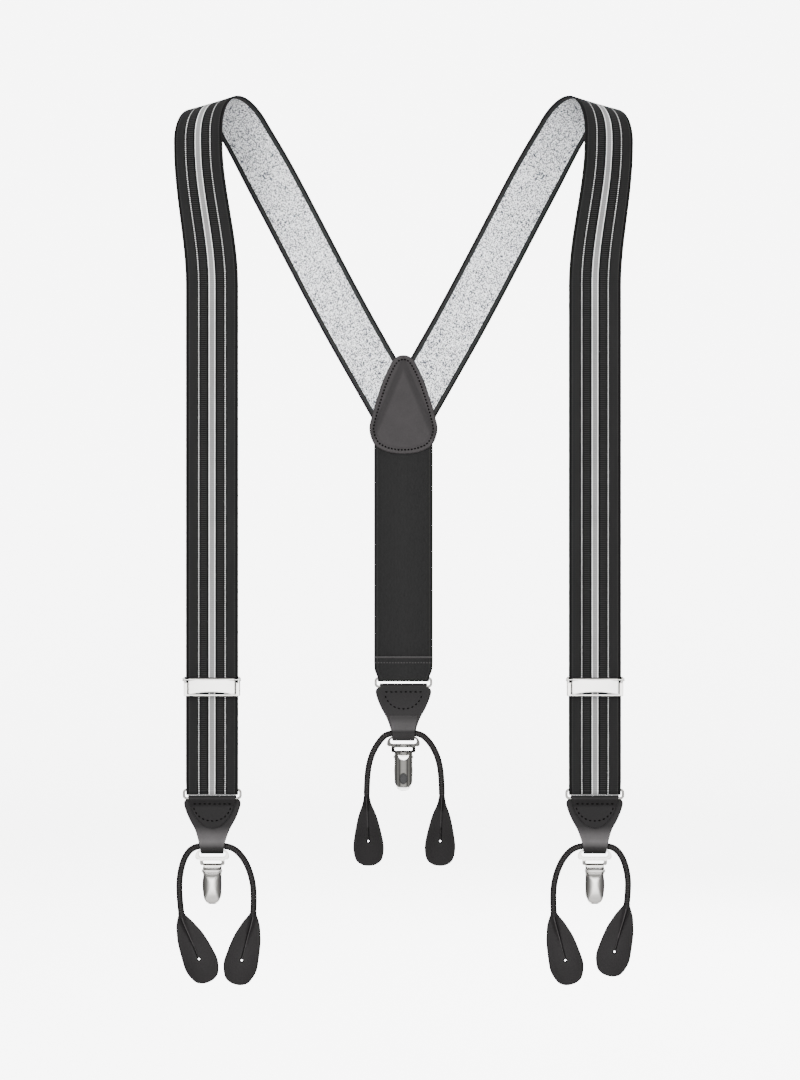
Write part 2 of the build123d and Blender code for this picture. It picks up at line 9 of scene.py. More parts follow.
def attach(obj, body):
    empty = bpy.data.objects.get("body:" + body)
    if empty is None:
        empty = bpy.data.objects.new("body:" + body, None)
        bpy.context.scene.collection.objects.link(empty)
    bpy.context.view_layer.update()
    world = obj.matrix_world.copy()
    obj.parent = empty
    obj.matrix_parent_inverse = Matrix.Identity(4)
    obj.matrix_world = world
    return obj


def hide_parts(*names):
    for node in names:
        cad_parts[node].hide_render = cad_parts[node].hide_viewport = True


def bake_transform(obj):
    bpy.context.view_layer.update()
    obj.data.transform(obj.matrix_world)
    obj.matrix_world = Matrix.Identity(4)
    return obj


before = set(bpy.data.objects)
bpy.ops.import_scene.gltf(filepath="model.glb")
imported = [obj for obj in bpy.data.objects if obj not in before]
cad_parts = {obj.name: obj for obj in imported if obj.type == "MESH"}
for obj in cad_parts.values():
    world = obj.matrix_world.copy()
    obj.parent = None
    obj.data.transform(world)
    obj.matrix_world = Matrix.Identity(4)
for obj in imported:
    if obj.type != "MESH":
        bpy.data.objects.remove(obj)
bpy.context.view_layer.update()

MM = 0.001

# ---- sizes shared with the CAD, in mm
WEB_W, WEB_T = 35.0, 1.4
ELASTIC_W = 40.0
LEATHER_T = 1.3
FRONT_X, FRONT_Y, BACK_Y = 127.7, -20.3, 20.3
FRONT_RING_Z, REAR_RING_Z, ADJUSTER_Z = -460.1, -387.5, -388.1
ADJUSTER_H, HEM_H, REAR_HEM_H = 12.4, 11.0, 15.8
STRAP_SPLIT_Z = -175.0
WIRE_R, RING_PITCH, WIRE_CLEAR = 0.8, 5.8, 0.1
LAYER = WIRE_R + WIRE_CLEAR + WEB_T / 2
CORD_R, EAR_T = 2.1, 1.5


# ---- camera and light
ROOM_FRONT, ROOM_SIDE, ROOM_TOP, ROOM_FLOOR, ROOM_BACK = 7.0, 0.07, 0.3, 1.2, 0.03


def link(name, data):
    """A new object in the scene."""
    o = bpy.data.objects.new(name, data)
    bpy.context.scene.collection.objects.link(o)
    return o


def studio():
    """Camera at the front, a pale floor that sweeps up into a round wall, and soft lights."""
    camera = link("camera", bpy.data.cameras.new("camera"))
    distance, frame_height, sensor_height = 1.805, 0.7204, 24
    middle_x, middle_z = -0.00233, -0.2905
    camera.data.sensor_fit = "VERTICAL"
    camera.data.sensor_height = sensor_height
    camera.data.lens = sensor_height * distance / frame_height
    camera.location = (middle_x, FRONT_Y * MM - distance, middle_z)
    camera.rotation_euler = (pi / 2, 0, 0)
    bpy.context.scene.camera = camera

    floor_z, wall_r, turn, top_z, steps = -0.85, 4.5, 0.8, 4.0, 72
    side = [(0.02, floor_z), (wall_r - turn, floor_z)]  # distance out from the middle, and height
    for a in np.linspace(0, pi / 2, 13)[1:]:
        side.append((wall_r - turn + turn * sin(a), floor_z + turn * (1 - cos(a))))
    side.append((wall_r, top_z))
    turns = [2 * pi * i / steps for i in range(steps)]
    verts = [(r * cos(a), r * sin(a), z) for r, z in side for a in turns]
    faces = [tuple(range(steps))] + quads(len(side), steps)
    mesh = bpy.data.meshes.new("backdrop")
    mesh.from_pydata(verts, [], faces)
    mesh.polygons.foreach_set("use_smooth", [True] * len(faces))
    sweep = link("backdrop", mesh)
    sweep.visible_diffuse = False
    sweep.visible_glossy = False
    sweep.visible_shadow = False
    mesh.materials.append(Nodes("paper").finish((0.9, 0.9, 0.9), 1.0, Emission_Color=(1, 1, 1),
                                                Emission_Strength=6.0))

    world = Nodes("studio", bpy.data.worlds)
    bpy.context.scene.world = world.owner
    background = world.tree.nodes["Background"]
    background.inputs[0].default_value = (1, 1, 1, 1)
    way = world.new("SeparateXYZ", Vector=world.new("TexCoord").outputs["Generated"]).outputs

    def glow(axis, start, end, low, high):
        node = world.new("MapRange", Value=way[axis])
        node.interpolation_type = "SMOOTHSTEP"
        for name, value in (("From Min", start), ("From Max", end), ("To Min", low), ("To Max", high)):
            node.inputs[name].default_value = value
        return node.outputs[0]

    # a bright window in front, a lit floor, and a dimmer room round them, above and behind
    room = world.plus(glow(1, 0.3, -0.5, 0.06, ROOM_SIDE), glow(1, -0.87, -0.975, 0.0, ROOM_FRONT))
    above = world.plus(glow(2, 0.1, 0.9, 0.0, ROOM_TOP), glow(2, -0.3, -0.85, 0.0, ROOM_FLOOR))
    total = world.plus(world.plus(room, above), glow(1, 0.4, 0.9, 0.0, ROOM_BACK))
    world.put(background.inputs[1], total)

    def area(name, at, aim, size, power):
        light = bpy.data.lights.new(name, "AREA")
        light.shape = "RECTANGLE"
        light.size, light.size_y = size
        light.energy = power
        o = link(name, light)
        o.location = at
        o.rotation_euler = (Vector(aim) - Vector(at)).to_track_quat("-Z", "Y").to_euler()
        o.visible_glossy = False  # metal mirrors the room, not the lamps

    area("key", (-1.3, -1.9, 1.0), (0, 0, -0.3), (1.2, 1.2), 107)
    area("fill", (1.6, -1.7, 0.2), (0, 0, -0.3), (1.0, 1.6), 40)
    area("top", (0, -0.2, 1.6), (0, 0, -0.3), (1.6, 1.2), 32)
    area("back", (0.8, 2.0, 0.6), (0, 0, -0.3), (1.4, 1.4), 75)


# ---- node helpers
class Nodes:
    """Short names for the nodes of one new material, or of a world."""

    def __init__(self, name, home=None):
        self.owner = (bpy.data.materials if home is None else home).new(name)
        self.owner.use_nodes = True
        self.tree = self.owner.node_tree

    def new(self, kind, **sockets):
        node = self.tree.nodes.new("ShaderNode" + kind)
        for key, value in sockets.items():
            self.put(node.inputs[key], value)
        return node

    def put(self, socket, value):
        if isinstance(value, bpy.types.NodeSocket):
            self.tree.links.new(value, socket)
        elif isinstance(value, (tuple, list)) and socket.type == "RGBA":
            socket.default_value = tuple(value) + (1.0,) * (4 - len(value))
        else:
            socket.default_value = value

    def math(self, operation, a, b=0.0, c=0.0, clamp=False):
        node = self.new("Math")
        node.operation = operation
        node.use_clamp = clamp
        for i, value in enumerate((a, b, c)):
            self.put(node.inputs[i], value)
        return node.outputs[0]

    def times(self, a, b):
        return self.math("MULTIPLY", a, b)

    def plus(self, a, b):
        return self.math("ADD", a, b)

    def minus(self, a, b):
        return self.math("SUBTRACT", a, b)

    def scaled(self, value, factor, offset, clamp=False):
        return self.math("MULTIPLY_ADD", value, factor, offset, clamp)

    def less(self, a, b):
        return self.math("LESS_THAN", a, b)

    def more(self, a, b):
        return self.math("GREATER_THAN", a, b)

    def size(self, value):
        return self.math("ABSOLUTE", value)

    def from_middle(self, u):
        """0 on the middle line and 1 at both edges, for a u that runs from 0 to 1."""
        return self.times(self.size(self.minus(u, 0.5)), 2.0)

    def uv(self):
        """u and v of the piece's own layout."""
        node = self.new("UVMap")
        node.uv_map = "Layout"
        split = self.new("SeparateXYZ", Vector=node.outputs[0])
        return split.outputs[0], split.outputs[1]

    def vector(self, x, y, z=0.0):
        return self.new("CombineXYZ", X=x, Y=y, Z=z).outputs[0]

    def place(self):
        return self.new("TexCoord").outputs["Object"]

    def noise(self, at, scale, detail=2.0, rough=0.5):
        node = self.new("TexNoise", Vector=at, Scale=scale, Detail=detail, Roughness=rough)
        return node.outputs[0]

    def voronoi(self, at, scale):
        node = self.new("TexVoronoi", Vector=at, Scale=scale)
        node.feature = "SMOOTH_F1"
        return node.outputs["Distance"]

    def random(self, at):
        node = self.new("TexWhiteNoise", Vector=at)
        node.noise_dimensions = "3D"
        return node.outputs["Value"]

    def ramp(self, value, stops):
        """Colours, or greys, along a value: stops are (position, colour)."""
        node = self.new("ValToRGB", Fac=value)
        elements = node.color_ramp.elements
        while len(elements) < len(stops):
            elements.new(1.0)
        for element, (at, colour) in zip(elements, stops):
            element.position = at
            rgb = (colour,) * 3 if isinstance(colour, (int, float)) else colour
            element.color = tuple(rgb) + (1,)
        return node.outputs[0]

    def mix(self, factor, a, b, blend="MIX"):
        node = self.new("Mix")
        node.data_type = "RGBA"
        node.blend_type = blend
        self.put(node.inputs[0], factor)
        self.put(node.inputs[6], a)
        self.put(node.inputs[7], b)
        return node.outputs[2]

    def wave(self, value, pitch):
        """0 to 1 and back once a pitch."""
        return self.scaled(self.math("SINE", self.times(value, 2 * pi / pitch)), 0.5, 0.5)

    def finish(self, colour, roughness, height=None, depth=0.0002, normal=None, **constants):
        surface = self.tree.nodes["Principled BSDF"].inputs
        self.put(surface["Base Color"], colour)
        self.put(surface["Roughness"], roughness)
        if height is not None:
            bump = self.new("Bump", Height=height, Distance=depth, Strength=1.0)
            if normal:
                self.put(bump.inputs["Normal"], normal)
            self.put(surface["Normal"], bump.outputs[0])
        for key, value in constants.items():
            self.put(surface[key.replace("_", " ")], value)
        return self.owner


# ---- materials
RIB = 1.38 * MM


def striped_webbing():
    """Face of the webbing: smooth and ribbed black bands, dotted pinstripes, a grey middle stripe."""
    m = Nodes("striped_webbing")
    u, v = m.uv()
    across = m.from_middle(u)
    rib = m.wave(v, RIB)
    yarn = m.wave(m.times(u, WEB_W * MM), 0.45 * MM)
    smooth, dark, grey, white = 0.012, 0.002, 0.22, 1.0
    raised = [(0.0, grey), (0.092, grey), (0.096, white), (0.126, white), (0.13, dark), (0.195, dark),
              (0.2, 0.021), (0.44, 0.021), (0.446, dark), (0.502, dark), (0.506, 0.66), (0.536, 0.66),
              (0.55, dark), (0.588, dark), (0.592, smooth), (0.885, smooth), (0.89, 0.03), (0.915, 0.03),
              (0.92, dark), (0.97, dark), (1.0, 0.008)]
    # sunk colours are darker than raised ones: painted shade in the rib grooves, and in the dotted pinstripe
    # also its real dotted pattern
    sunk_shaded = [(0.0, grey * 0.8), (0.092, grey * 0.8), (0.096, 0.8), (0.116, 0.8), (0.12, dark), (0.195, dark),
            (0.2, 0.0012), (0.44, 0.0012), (0.446, dark), (0.506, 0.02), (0.536, 0.02),
            (0.55, dark), (0.588, dark), (0.592, smooth * 0.8), (0.885, smooth * 0.8), (0.89, 0.014),
            (0.915, 0.014), (0.92, dark), (0.97, dark), (1.0, 0.005)]
    top, low = m.ramp(across, raised), m.ramp(across, sunk_shaded)
    sharp = m.scaled(m.minus(rib, 0.5), 2.4, 0.5, clamp=True)
    colour = m.mix(sharp, low, top)
    fleck = m.noise(m.vector(m.times(u, 60.0), m.times(v, 900.0)), 1.0, 3)
    worn = m.noise(m.vector(m.times(u, 3.0), m.times(v, 25.0)), 1.0, 3)
    colour = m.mix(0.5, colour, m.ramp(fleck, [(0.3, 0.62), (0.7, 1.0)]), "MULTIPLY")
    colour = m.mix(1.0, colour, m.ramp(worn, [(0.3, 0.82), (0.7, 1.0)]), "MULTIPLY")
    relief = m.ramp(across, [(0.0, 0.25), (0.16, 0.25), (0.2, 0.9), (0.44, 0.9), (0.48, 0.5),
                             (0.54, 0.5), (0.6, 0.14), (0.9, 0.14), (1.0, 0.1)])
    height = m.scaled(yarn, 0.12, m.times(rib, relief))
    return m.finish(colour, m.scaled(fleck, 0.2, 0.6), height, 0.00014,
                    Specular_IOR_Level=0.1, Sheen_Weight=0.02, Sheen_Roughness=0.5)


def speckled_webbing():
    """Back of the webbing: grey with dark specks in a diagonal weave, between black borders."""
    m = Nodes("speckled_webbing")
    u, v = m.uv()
    x = m.times(u, WEB_W)
    y = m.times(v, 1000.0)
    pitch = 0.82
    a = m.math("FLOOR", m.math("DIVIDE", m.plus(x, y), pitch))
    b = m.math("FLOOR", m.math("DIVIDE", m.minus(x, y), pitch))
    cell = m.random(m.vector(a, b, 3.0))
    drift = m.noise(m.vector(m.times(x, 0.12), m.times(y, 0.06)), 1.0, 3)
    limit = m.scaled(drift, 0.4, 0.18)
    speck = m.less(cell, limit)
    tone = m.random(m.vector(a, b, 8.0))
    light = m.ramp(tone, [(0.0, (0.62, 0.628, 0.65)), (1.0, (0.95, 0.955, 0.97))])
    shade = m.ramp(tone, [(0.0, (0.03, 0.033, 0.042)), (1.0, (0.17, 0.178, 0.2))])
    body = m.mix(speck, light, shade)
    across = m.from_middle(u)
    border = m.ramp(across, [(0.0, 0.0), (0.822, 0.0), (0.826, 1.0), (1.0, 1.0)])
    rib = m.wave(v, RIB)
    # the sunk colours are darker: painted shade in the rib grooves of the black borders
    sunk_shaded = m.ramp(across, [(0.83, 0.003), (0.86, 0.008), (0.9, 0.013), (0.94, 0.008), (0.97, 0.003)])
    raised = m.ramp(across, [(0.83, 0.005), (0.86, 0.013), (0.9, 0.026), (0.94, 0.013), (0.97, 0.005)])
    colour = m.mix(border, body, m.mix(rib, sunk_shaded, raised))
    weave = m.times(m.wave(m.plus(x, y), pitch), m.wave(m.minus(x, y), pitch))
    height = m.scaled(cell, 0.3, weave)
    return m.finish(colour, 0.75, height, 0.00012,
                    Specular_IOR_Level=0.2, Sheen_Weight=0.05, Sheen_Roughness=0.5)


def black_elastic(length):
    """Fine lengthwise-ribbed black elastic, with a painted highlight on the hem's fold edge and the seam
    near the end of its length.
    """
    m = Nodes("black_elastic")
    u, v = m.uv()
    cord = m.wave(m.times(u, ELASTIC_W), 1.0)
    pick = m.wave(v, 0.7 * MM)
    fleck = m.noise(m.vector(m.times(u, 80.0), m.times(v, 700.0)), 1.0, 3)
    knit = m.times(cord, pick)
    across = m.from_middle(u)
    raised = m.ramp(across, [(0.0, 0.021), (0.86, 0.021), (0.875, 0.008), (0.89, 0.032), (0.93, 0.032),
                             (0.95, 0.013), (1.0, 0.008)])
    # the sunk colour is darker: painted shade between the knit's ribs
    sunk_shaded = m.ramp(across, [(0.0, 0.008), (1.0, 0.005)])
    colour = m.mix(m.scaled(knit, 0.5, m.times(fleck, 0.4)), sunk_shaded, raised)
    from_end = m.times(m.minus(length * MM, v), 1000.0)
    # painted highlight: a lighter band along the hem's fold edge
    fold = m.less(from_end, 0.9)
    colour = m.mix(m.times(fold, 0.7), colour, (0.05, 0.047, 0.048))
    seam = m.less(m.size(m.minus(from_end, 4.2)), 0.35)
    dot = m.times(seam, m.more(m.wave(m.times(u, ELASTIC_W), 2.0), 0.4))
    colour = m.mix(m.times(dot, 0.7), colour, (0.052, 0.049, 0.05))
    height = m.scaled(seam, -0.8, m.scaled(fleck, 0.3, knit))
    return m.finish(colour, 0.7, height, 0.00018,
                    Specular_IOR_Level=0.12, Sheen_Weight=0.03, Sheen_Roughness=0.4)


def leather(name, tone, scale=1.0, rough=0.5, shine=0.25, painted_light=None):
    """Grained black leather with a painted highlight along its edges. The last argument makes nodes that
    paint light and shade onto it.
    """
    m = Nodes(name)
    at = m.place()
    grain = m.voronoi(at, 900.0 * scale)
    pores = m.noise(at, 2600.0 * scale, 3, 0.6)
    cloud = m.noise(at, 60.0, 4, 0.6)
    pointy = m.new("NewGeometry").outputs["Pointiness"]
    # painted highlight: sharp convex edges get a lighter colour
    edge = m.ramp(pointy, [(0.5, 0.0), (0.56, 1.0)])
    dark, light = tuple(c * 0.7 for c in tone), tuple(c * 1.35 for c in tone)
    colour = m.mix(cloud, dark, light)
    colour = m.mix(m.times(edge, 0.3), colour, tuple(c * 2.4 for c in tone))
    if painted_light:
        colour = m.mix(1.0, colour, painted_light(m), "MULTIPLY")
    height = m.scaled(pores, 0.35, grain)
    roughness = m.scaled(cloud, 0.18, rough - 0.09)
    return m.finish(colour, roughness, height, 0.00008, Specular_IOR_Level=shine)


def ear_painted_light(m):
    """A painted highlight along the crease from the cord to the hole, a line of painted shade beside it, and
    painted shade in and round the hole.
    """
    u, v = m.uv()
    x = m.math("DIVIDE", u, MM)
    z = m.math("DIVIDE", v, MM)
    span = m.times(m.more(z, EAR_HOLE_Z), m.less(z, -2.0))
    # painted highlight along the crease
    line = m.times(m.less(m.size(m.minus(x, 0.15)), 0.3), span)
    shade_beside = m.times(m.less(m.size(m.plus(x, 0.6)), 0.42), span)
    down = m.minus(z, EAR_HOLE_Z)
    away = m.math("SQRT", m.plus(m.times(x, x), m.times(down, down)))
    # painted shade beside the crease, and in and round the hole
    dark = m.math("MAXIMUM", shade_beside, m.less(away, 1.5))
    shade = m.ramp(dark, [(0.0, 1.0), (1.0, 0.3)])
    return m.mix(line, shade, (2.6, 2.6, 2.6))


def patch_painted_shade(m):
    """Painted shade on both sides of the leather's upper half, where the two straps lie under it."""
    split = m.new("SeparateXYZ", Vector=m.place())
    x = m.math("DIVIDE", m.size(split.outputs[0]), MM)
    down = m.minus(PATCH[0][1], m.math("DIVIDE", split.outputs[2], MM))
    past = m.minus(x, m.scaled(down, 0.42, -3.0))
    shade = [(0.2, 1.05), (0.45, 0.72), (0.8, 0.66), (1.0, 1.0)]
    return m.ramp(m.scaled(past, 0.12, 0.5), shade)


def tab_painted_light(m):
    """Painted light and shade along the tab: painted shade on the flap, painted highlights on the strip, the
    darkest painted shade at the lower bend, and painted highlights on the loop's back.
    """
    length = 110.0  # of the leather, with its folds
    along = m.times(m.uv()[1], 1 / (length * MM))
    return m.ramp(along, [(0.0, 0.5), (0.26, 0.55), (0.31, 0.6), (0.4, 0.75), (0.46, 2.9), (0.5, 3.5),
                          (0.535, 1.0), (0.57, 0.5), (0.6, 1.3), (0.635, 1.0), (0.65, 0.5), (0.665, 2.2),
                          (0.7, 2.0), (0.74, 1.0)])


def rolled_leather():
    """Round leather cord: fine creases wound along it, with painted shade between them and painted glints on
    their crests.
    """
    m = Nodes("rolled_leather")
    u, v = m.uv()
    slant = m.scaled(u, 2.4 * MM, v)
    crease = m.wave(slant, 1.5 * MM)
    at = m.place()
    fleck = m.noise(at, 1400.0, 3, 0.6)
    # painted glints on the crease crests, and painted shade in the creases
    crest_glint = m.times(m.more(crease, 0.8), m.more(fleck, 0.52))
    colour = m.mix(crease, (0.0035, 0.003, 0.003), (0.012, 0.011, 0.011))
    colour = m.mix(m.times(crest_glint, 0.4), colour, (0.075, 0.07, 0.07))
    height = m.scaled(fleck, 0.4, crease)
    roughness = m.scaled(fleck, 0.2, 0.4)
    return m.finish(colour, roughness, height, 0.00012, Specular_IOR_Level=0.15)


def thread(name, tone):
    """Sewing thread with a twist, and painted shade between its plies."""
    m = Nodes(name)
    u, v = m.uv()
    twist = m.wave(m.plus(m.times(u, 1.2), m.times(v, 1000.0)), 0.5)
    # painted shade: the grooves of the twist are darker
    colour = m.mix(twist, tuple(c * 0.5 for c in tone), tone)
    return m.finish(colour, 1.0, twist, 0.00005, Specular_IOR_Level=0.0)


def nickel(name, rough, tone, brushed=0.0, painted_light=None, soften=0.0, rim=0.0):
    """Plated metal: fine brushing, faint stains and pits, and painted shade on edges and sides.

    soften is the radius in mm over which the shading rounds off the edges of a pressed part, and rim is
    the width in mm of a line of painted shade along its edges."""
    m = Nodes(name)
    at = m.place()
    stain = m.noise(at, 140.0, 4, 0.6)
    normal = m.new("NewGeometry").outputs["Normal"]
    across = m.new("SeparateXYZ", Vector=normal).outputs[1]
    # painted shade: faces that turn away from the front and back are darker
    painted_side_shade = m.ramp(m.size(across), [(0.0, 0.15), (0.5, 0.2), (0.9, 1.0)])
    if rim:
        # painted shade: a darker line where the surface bends round an edge
        dot = m.new("VectorMath")
        dot.operation = "DOT_PRODUCT"
        m.put(dot.inputs[0], normal)
        m.put(dot.inputs[1], m.new("Bevel", Radius=rim * MM).outputs[0])
        painted_side_shade = m.mix(1.0, painted_side_shade, m.ramp(dot.outputs["Value"], [(0.85, 0.05), (0.995, 1.0)]), "MULTIPLY")
    pits = m.noise(at, 3200.0)
    stretched = m.new("Mapping", Vector=at, Scale=(60.0, 1200.0, 1200.0)).outputs[0]
    lines = m.noise(stretched, 1.0, 3, 0.6)
    colour = m.mix(1.0, m.mix(stain, tuple(c * 0.93 for c in tone), tone), painted_side_shade, "MULTIPLY")
    # painted shade given by the caller
    if painted_light:
        colour = m.mix(1.0, colour, painted_light(m), "MULTIPLY")
    roughness = m.scaled(stain, 0.08, rough - 0.04)
    roughness = m.scaled(lines, brushed, roughness)
    height = m.scaled(lines, brushed * 4, m.times(pits, 0.3))
    rounded_normal = m.new("Bevel", Radius=soften * MM).outputs[0] if soften else None
    return m.finish(colour, roughness, height, 0.000012, rounded_normal, Metallic=1.0,
                    Specular_Tint=(0.15, 0.15, 0.15))


def plate_ribs_painted_shade(m):
    """Painted shade down a plate centred on x = 0: darker edges and two darker pressed ribs."""
    x = m.size(m.new("SeparateXYZ", Vector=m.place()).outputs[0])
    plate_w = 12.0
    across = m.math("DIVIDE", x, plate_w * MM)
    return m.ramp(across, [(0.0, 0.16), (0.12, 0.14), (0.2, 0.04), (0.27, 0.03), (0.3, 0.1), (0.36, 0.03),
                           (0.44, 0.025), (0.47, 0.08), (1.0, 0.08)])


def grip_pad():
    """Moulded rubbery plastic."""
    m = Nodes("grip_pad")
    at = m.place()
    grain = m.noise(at, 2400.0, 3, 0.6)
    cloud = m.noise(at, 200.0)
    colour = m.mix(cloud, (0.013, 0.013, 0.0137), (0.022, 0.022, 0.0228))
    return m.finish(colour, m.scaled(grain, 0.2, 0.5), grain, 0.00004)


# ---- mesh helpers
def piece(name, verts, faces, uvs, materials, body=None, replaces=(), which=None):
    """A mesh in mm turned into a piece in metres. uvs has one pair for each corner of each face."""
    mesh = bpy.data.meshes.new(name)
    mesh.from_pydata([tuple(float(c) * MM for c in v) for v in verts], [], faces)
    layer = mesh.uv_layers.new(name="Layout")
    layer.data.foreach_set("uv", np.array(uvs, dtype=np.float32).ravel())
    mesh.polygons.foreach_set("use_smooth", [len(f) <= 4 for f in faces])
    for material in materials:
        mesh.materials.append(material)
    if which is not None:
        mesh.polygons.foreach_set("material_index", which)
    mesh.validate()
    mesh.update()
    o = link(name, mesh)
    if body:
        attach(o, body)
    if replaces:
        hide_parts(*replaces)
    return o


def unit(v):
    return v / np.linalg.norm(v)


def run_of(line):
    """Distance along a line at each of its points."""
    return np.concatenate([[0], np.cumsum(np.linalg.norm(np.diff(line, axis=0), axis=1))])


def quads(rows, columns):
    """Faces between closed rows of vertices that are numbered row by row."""
    faces = []
    for i in range(rows - 1):
        for j in range(columns):
            k = (j + 1) % columns
            faces.append((i * columns + j, i * columns + k, (i + 1) * columns + k, (i + 1) * columns + j))
    return faces


def ribbon(stations, thickness, columns=12):
    """A flat band through stations of (middle, width direction, travel, half width).

    Its face is on the side of width x travel. Returns verts, faces, uvs and material numbers:
    0 on the face and edges, 1 on the back."""
    t, edge_in = thickness / 2, thickness * 0.45
    loop = []  # (share of half width, offset from the edge, normal offset, u)
    across = np.linspace(-1, 1, columns + 1)
    for s in across:
        loop.append((s, edge_in, t, (s + 1) / 2))
    edge = [(edge_in * (1 - cos(a)), t * sin(a)) for a in np.radians((60, 30, 0, -30, -60))]
    loop += [(1, inset, n, 1) for inset, n in edge]
    for s in across[::-1]:
        loop.append((s, edge_in, -t, (s + 1) / 2))
    loop += [(-1, inset, n, 0) for inset, n in edge[::-1]]
    k = len(loop)
    verts, along = [], [0.0]
    for i, (middle, width, travel, half) in enumerate(stations):
        middle, width, travel = (np.array(v, float) for v in (middle, width, travel))
        normal = unit(np.cross(width, travel))
        for s, inset, n, _ in loop:
            verts.append(middle + width * (s * (half - inset)) + normal * n)
        if i:
            along.append(along[-1] + np.linalg.norm(middle - np.array(stations[i - 1][0], float)) * MM)
    faces, uvs, which = quads(len(stations), k), [], []
    for i in range(len(stations) - 1):
        for j in range(k):
            u0, u1 = loop[j][3], loop[(j + 1) % k][3]
            uvs += [(u0, along[i]), (u1, along[i]), (u1, along[i + 1]), (u0, along[i + 1])]
            which.append(1 if columns + 6 <= j < 2 * columns + 6 else 0)
    for row, order in ((0, -1), (len(stations) - 1, 1)):
        cap = [row * k + j for j in range(k)][::order]
        faces.append(tuple(cap))
        uvs += [(loop[c - row * k][3] * 0.02, along[row]) for c in cap]
        which.append(0)
    return verts, faces, uvs, which, along


RIM_ROWS = (0.12, 0.35, 0.7)  # rows of points close to the rim carry its rounding


def inward_of(loop):
    """Unit vectors into a closed loop, whichever way round it runs."""
    nxt = np.roll(loop, -1, 0)
    tangent = nxt - np.roll(loop, 1, 0)
    tangent /= np.linalg.norm(tangent, axis=1)[:, None] + 1e-12
    inward = np.stack([-tangent[:, 1], tangent[:, 0]], 1)
    area = 0.5 * np.sum(loop[:, 0] * nxt[:, 1] - nxt[:, 0] * loop[:, 1])
    return inward if area > 0 else -inward


def sheet_of(outline, holes, spacing, extra=()):
    """A fine triangle mesh of a flat outline with holes.

    extra points are kept where finer detail needs them. Returns points, triangles, and each point's
    distance from the rim."""
    loops = [np.array(outline, float)] + [np.array(h, float) for h in holes]
    points, edges = [], []
    for loop in loops:
        first = len(points)
        points += [tuple(p) for p in loop]
        edges += [(first + i, first + (i + 1) % len(loop)) for i in range(len(loop))]
    low, high = loops[0].min(0), loops[0].max(0)
    grid, row_gap = [], spacing * 0.87
    for r in range(int((high[1] - low[1]) / row_gap) + 1):
        y = low[1] + r * row_gap
        for c in range(int((high[0] - low[0]) / spacing) + 2):
            grid.append((low[0] + (c + 0.5 * (r % 2)) * spacing, y))
    grid = np.array(grid)
    gap = rim_distance(grid, loops)
    keep = inside(grid, loops) & (gap > spacing * 0.45)
    near = []
    for loop in loops:
        into_sheet = inward_of(loop) if loop is loops[0] else -inward_of(loop)
        near += [loop + into_sheet * depth for depth in RIM_ROWS]
    near = np.concatenate(near)
    good = inside(near, loops) & (rim_distance(near, loops) > min(RIM_ROWS) * 0.6)
    keep &= gap > max(RIM_ROWS) * 1.25
    if len(extra):
        extra = np.array(extra, float)
        keep &= np.min(np.linalg.norm(grid[:, None] - extra[None], axis=2), axis=1) > spacing * 0.45
        good &= np.min(np.linalg.norm(near[:, None] - extra[None], axis=2), axis=1) > min(RIM_ROWS)
        fits = inside(extra, loops) & (rim_distance(extra, loops) > min(RIM_ROWS) * 0.6)
        points += [tuple(p) for p in extra[fits]]
    points += [tuple(p) for p in near[good]] + [tuple(p) for p in grid[keep]]
    out = delaunay_2d_cdt([Vector(p) for p in points], edges, [], 0, 1e-5)
    flat = np.array([(p.x, p.y) for p in out[0]])
    tris = out[2]
    centre = np.array([flat[list(t)].mean(0) for t in tris])
    tris = [t for t, ok in zip(tris, inside(centre, loops)) if ok]
    area = [np.cross(flat[t[1]] - flat[t[0]], flat[t[2]] - flat[t[0]]) for t in tris]
    tris = [tuple(t) if a > 0 else tuple(t)[::-1] for t, a in zip(tris, area)]
    return flat, tris, rim_distance(flat, loops)


def rim_distance(points, loops):
    """Distance of each point from the nearest of the loops."""
    best = np.full(len(points), 1e9)
    for loop in loops:
        for a, b in zip(loop, np.roll(loop, -1, 0)):
            ab = b - a
            t = np.clip(((points - a) @ ab) / (ab @ ab + 1e-15), 0, 1)
            best = np.minimum(best, np.linalg.norm(points - (a + t[:, None] * ab), axis=1))
    return best


def inside(points, loops):
    """True for each point that lies in the first loop and in none of the others."""
    odd = np.zeros(len(points), bool)
    for loop in loops:
        for a, b in zip(loop, np.roll(loop, -1, 0)):
            cross = (a[1] > points[:, 1]) != (b[1] > points[:, 1])
            with np.errstate(divide="ignore", invalid="ignore"):
                x = a[0] + (points[:, 1] - a[1]) * (b[0] - a[0]) / (b[1] - a[1])
            odd ^= cross & (points[:, 0] < x)
    return odd


def spline(points, count, closed=False):
    """Points spread evenly along a smooth curve through the given ones."""
    p = np.array(points, float)
    if closed:
        p = np.vstack([p[-1], p, p[0], p[1]])
    else:
        p = np.vstack([2 * p[0] - p[1], p, 2 * p[-1] - p[-2]])
    dense = []
    for i in range(1, len(p) - 2):
        for t in np.linspace(0, 1, 24, endpoint=False):
            a, b, c, d = p[i - 1], p[i], p[i + 1], p[i + 2]
            dense.append(0.5 * (2 * b + (c - a) * t + (2 * a - 5 * b + 4 * c - d) * t**2
                                + (3 * b - a - 3 * c + d) * t**3))
    if not closed:
        dense.append(p[-2])
    return spread(np.array(dense), count, closed)


def spread(line, count, closed):
    """Points spread evenly along a line, or all round it if it is closed."""
    if closed:
        line = np.vstack([line, line[0]])
    run = run_of(line)
    want = np.linspace(0, run[-1], count, endpoint=not closed)
    return np.stack([np.interp(want, run, line[:, k]) for k in range(line.shape[1])], 1)


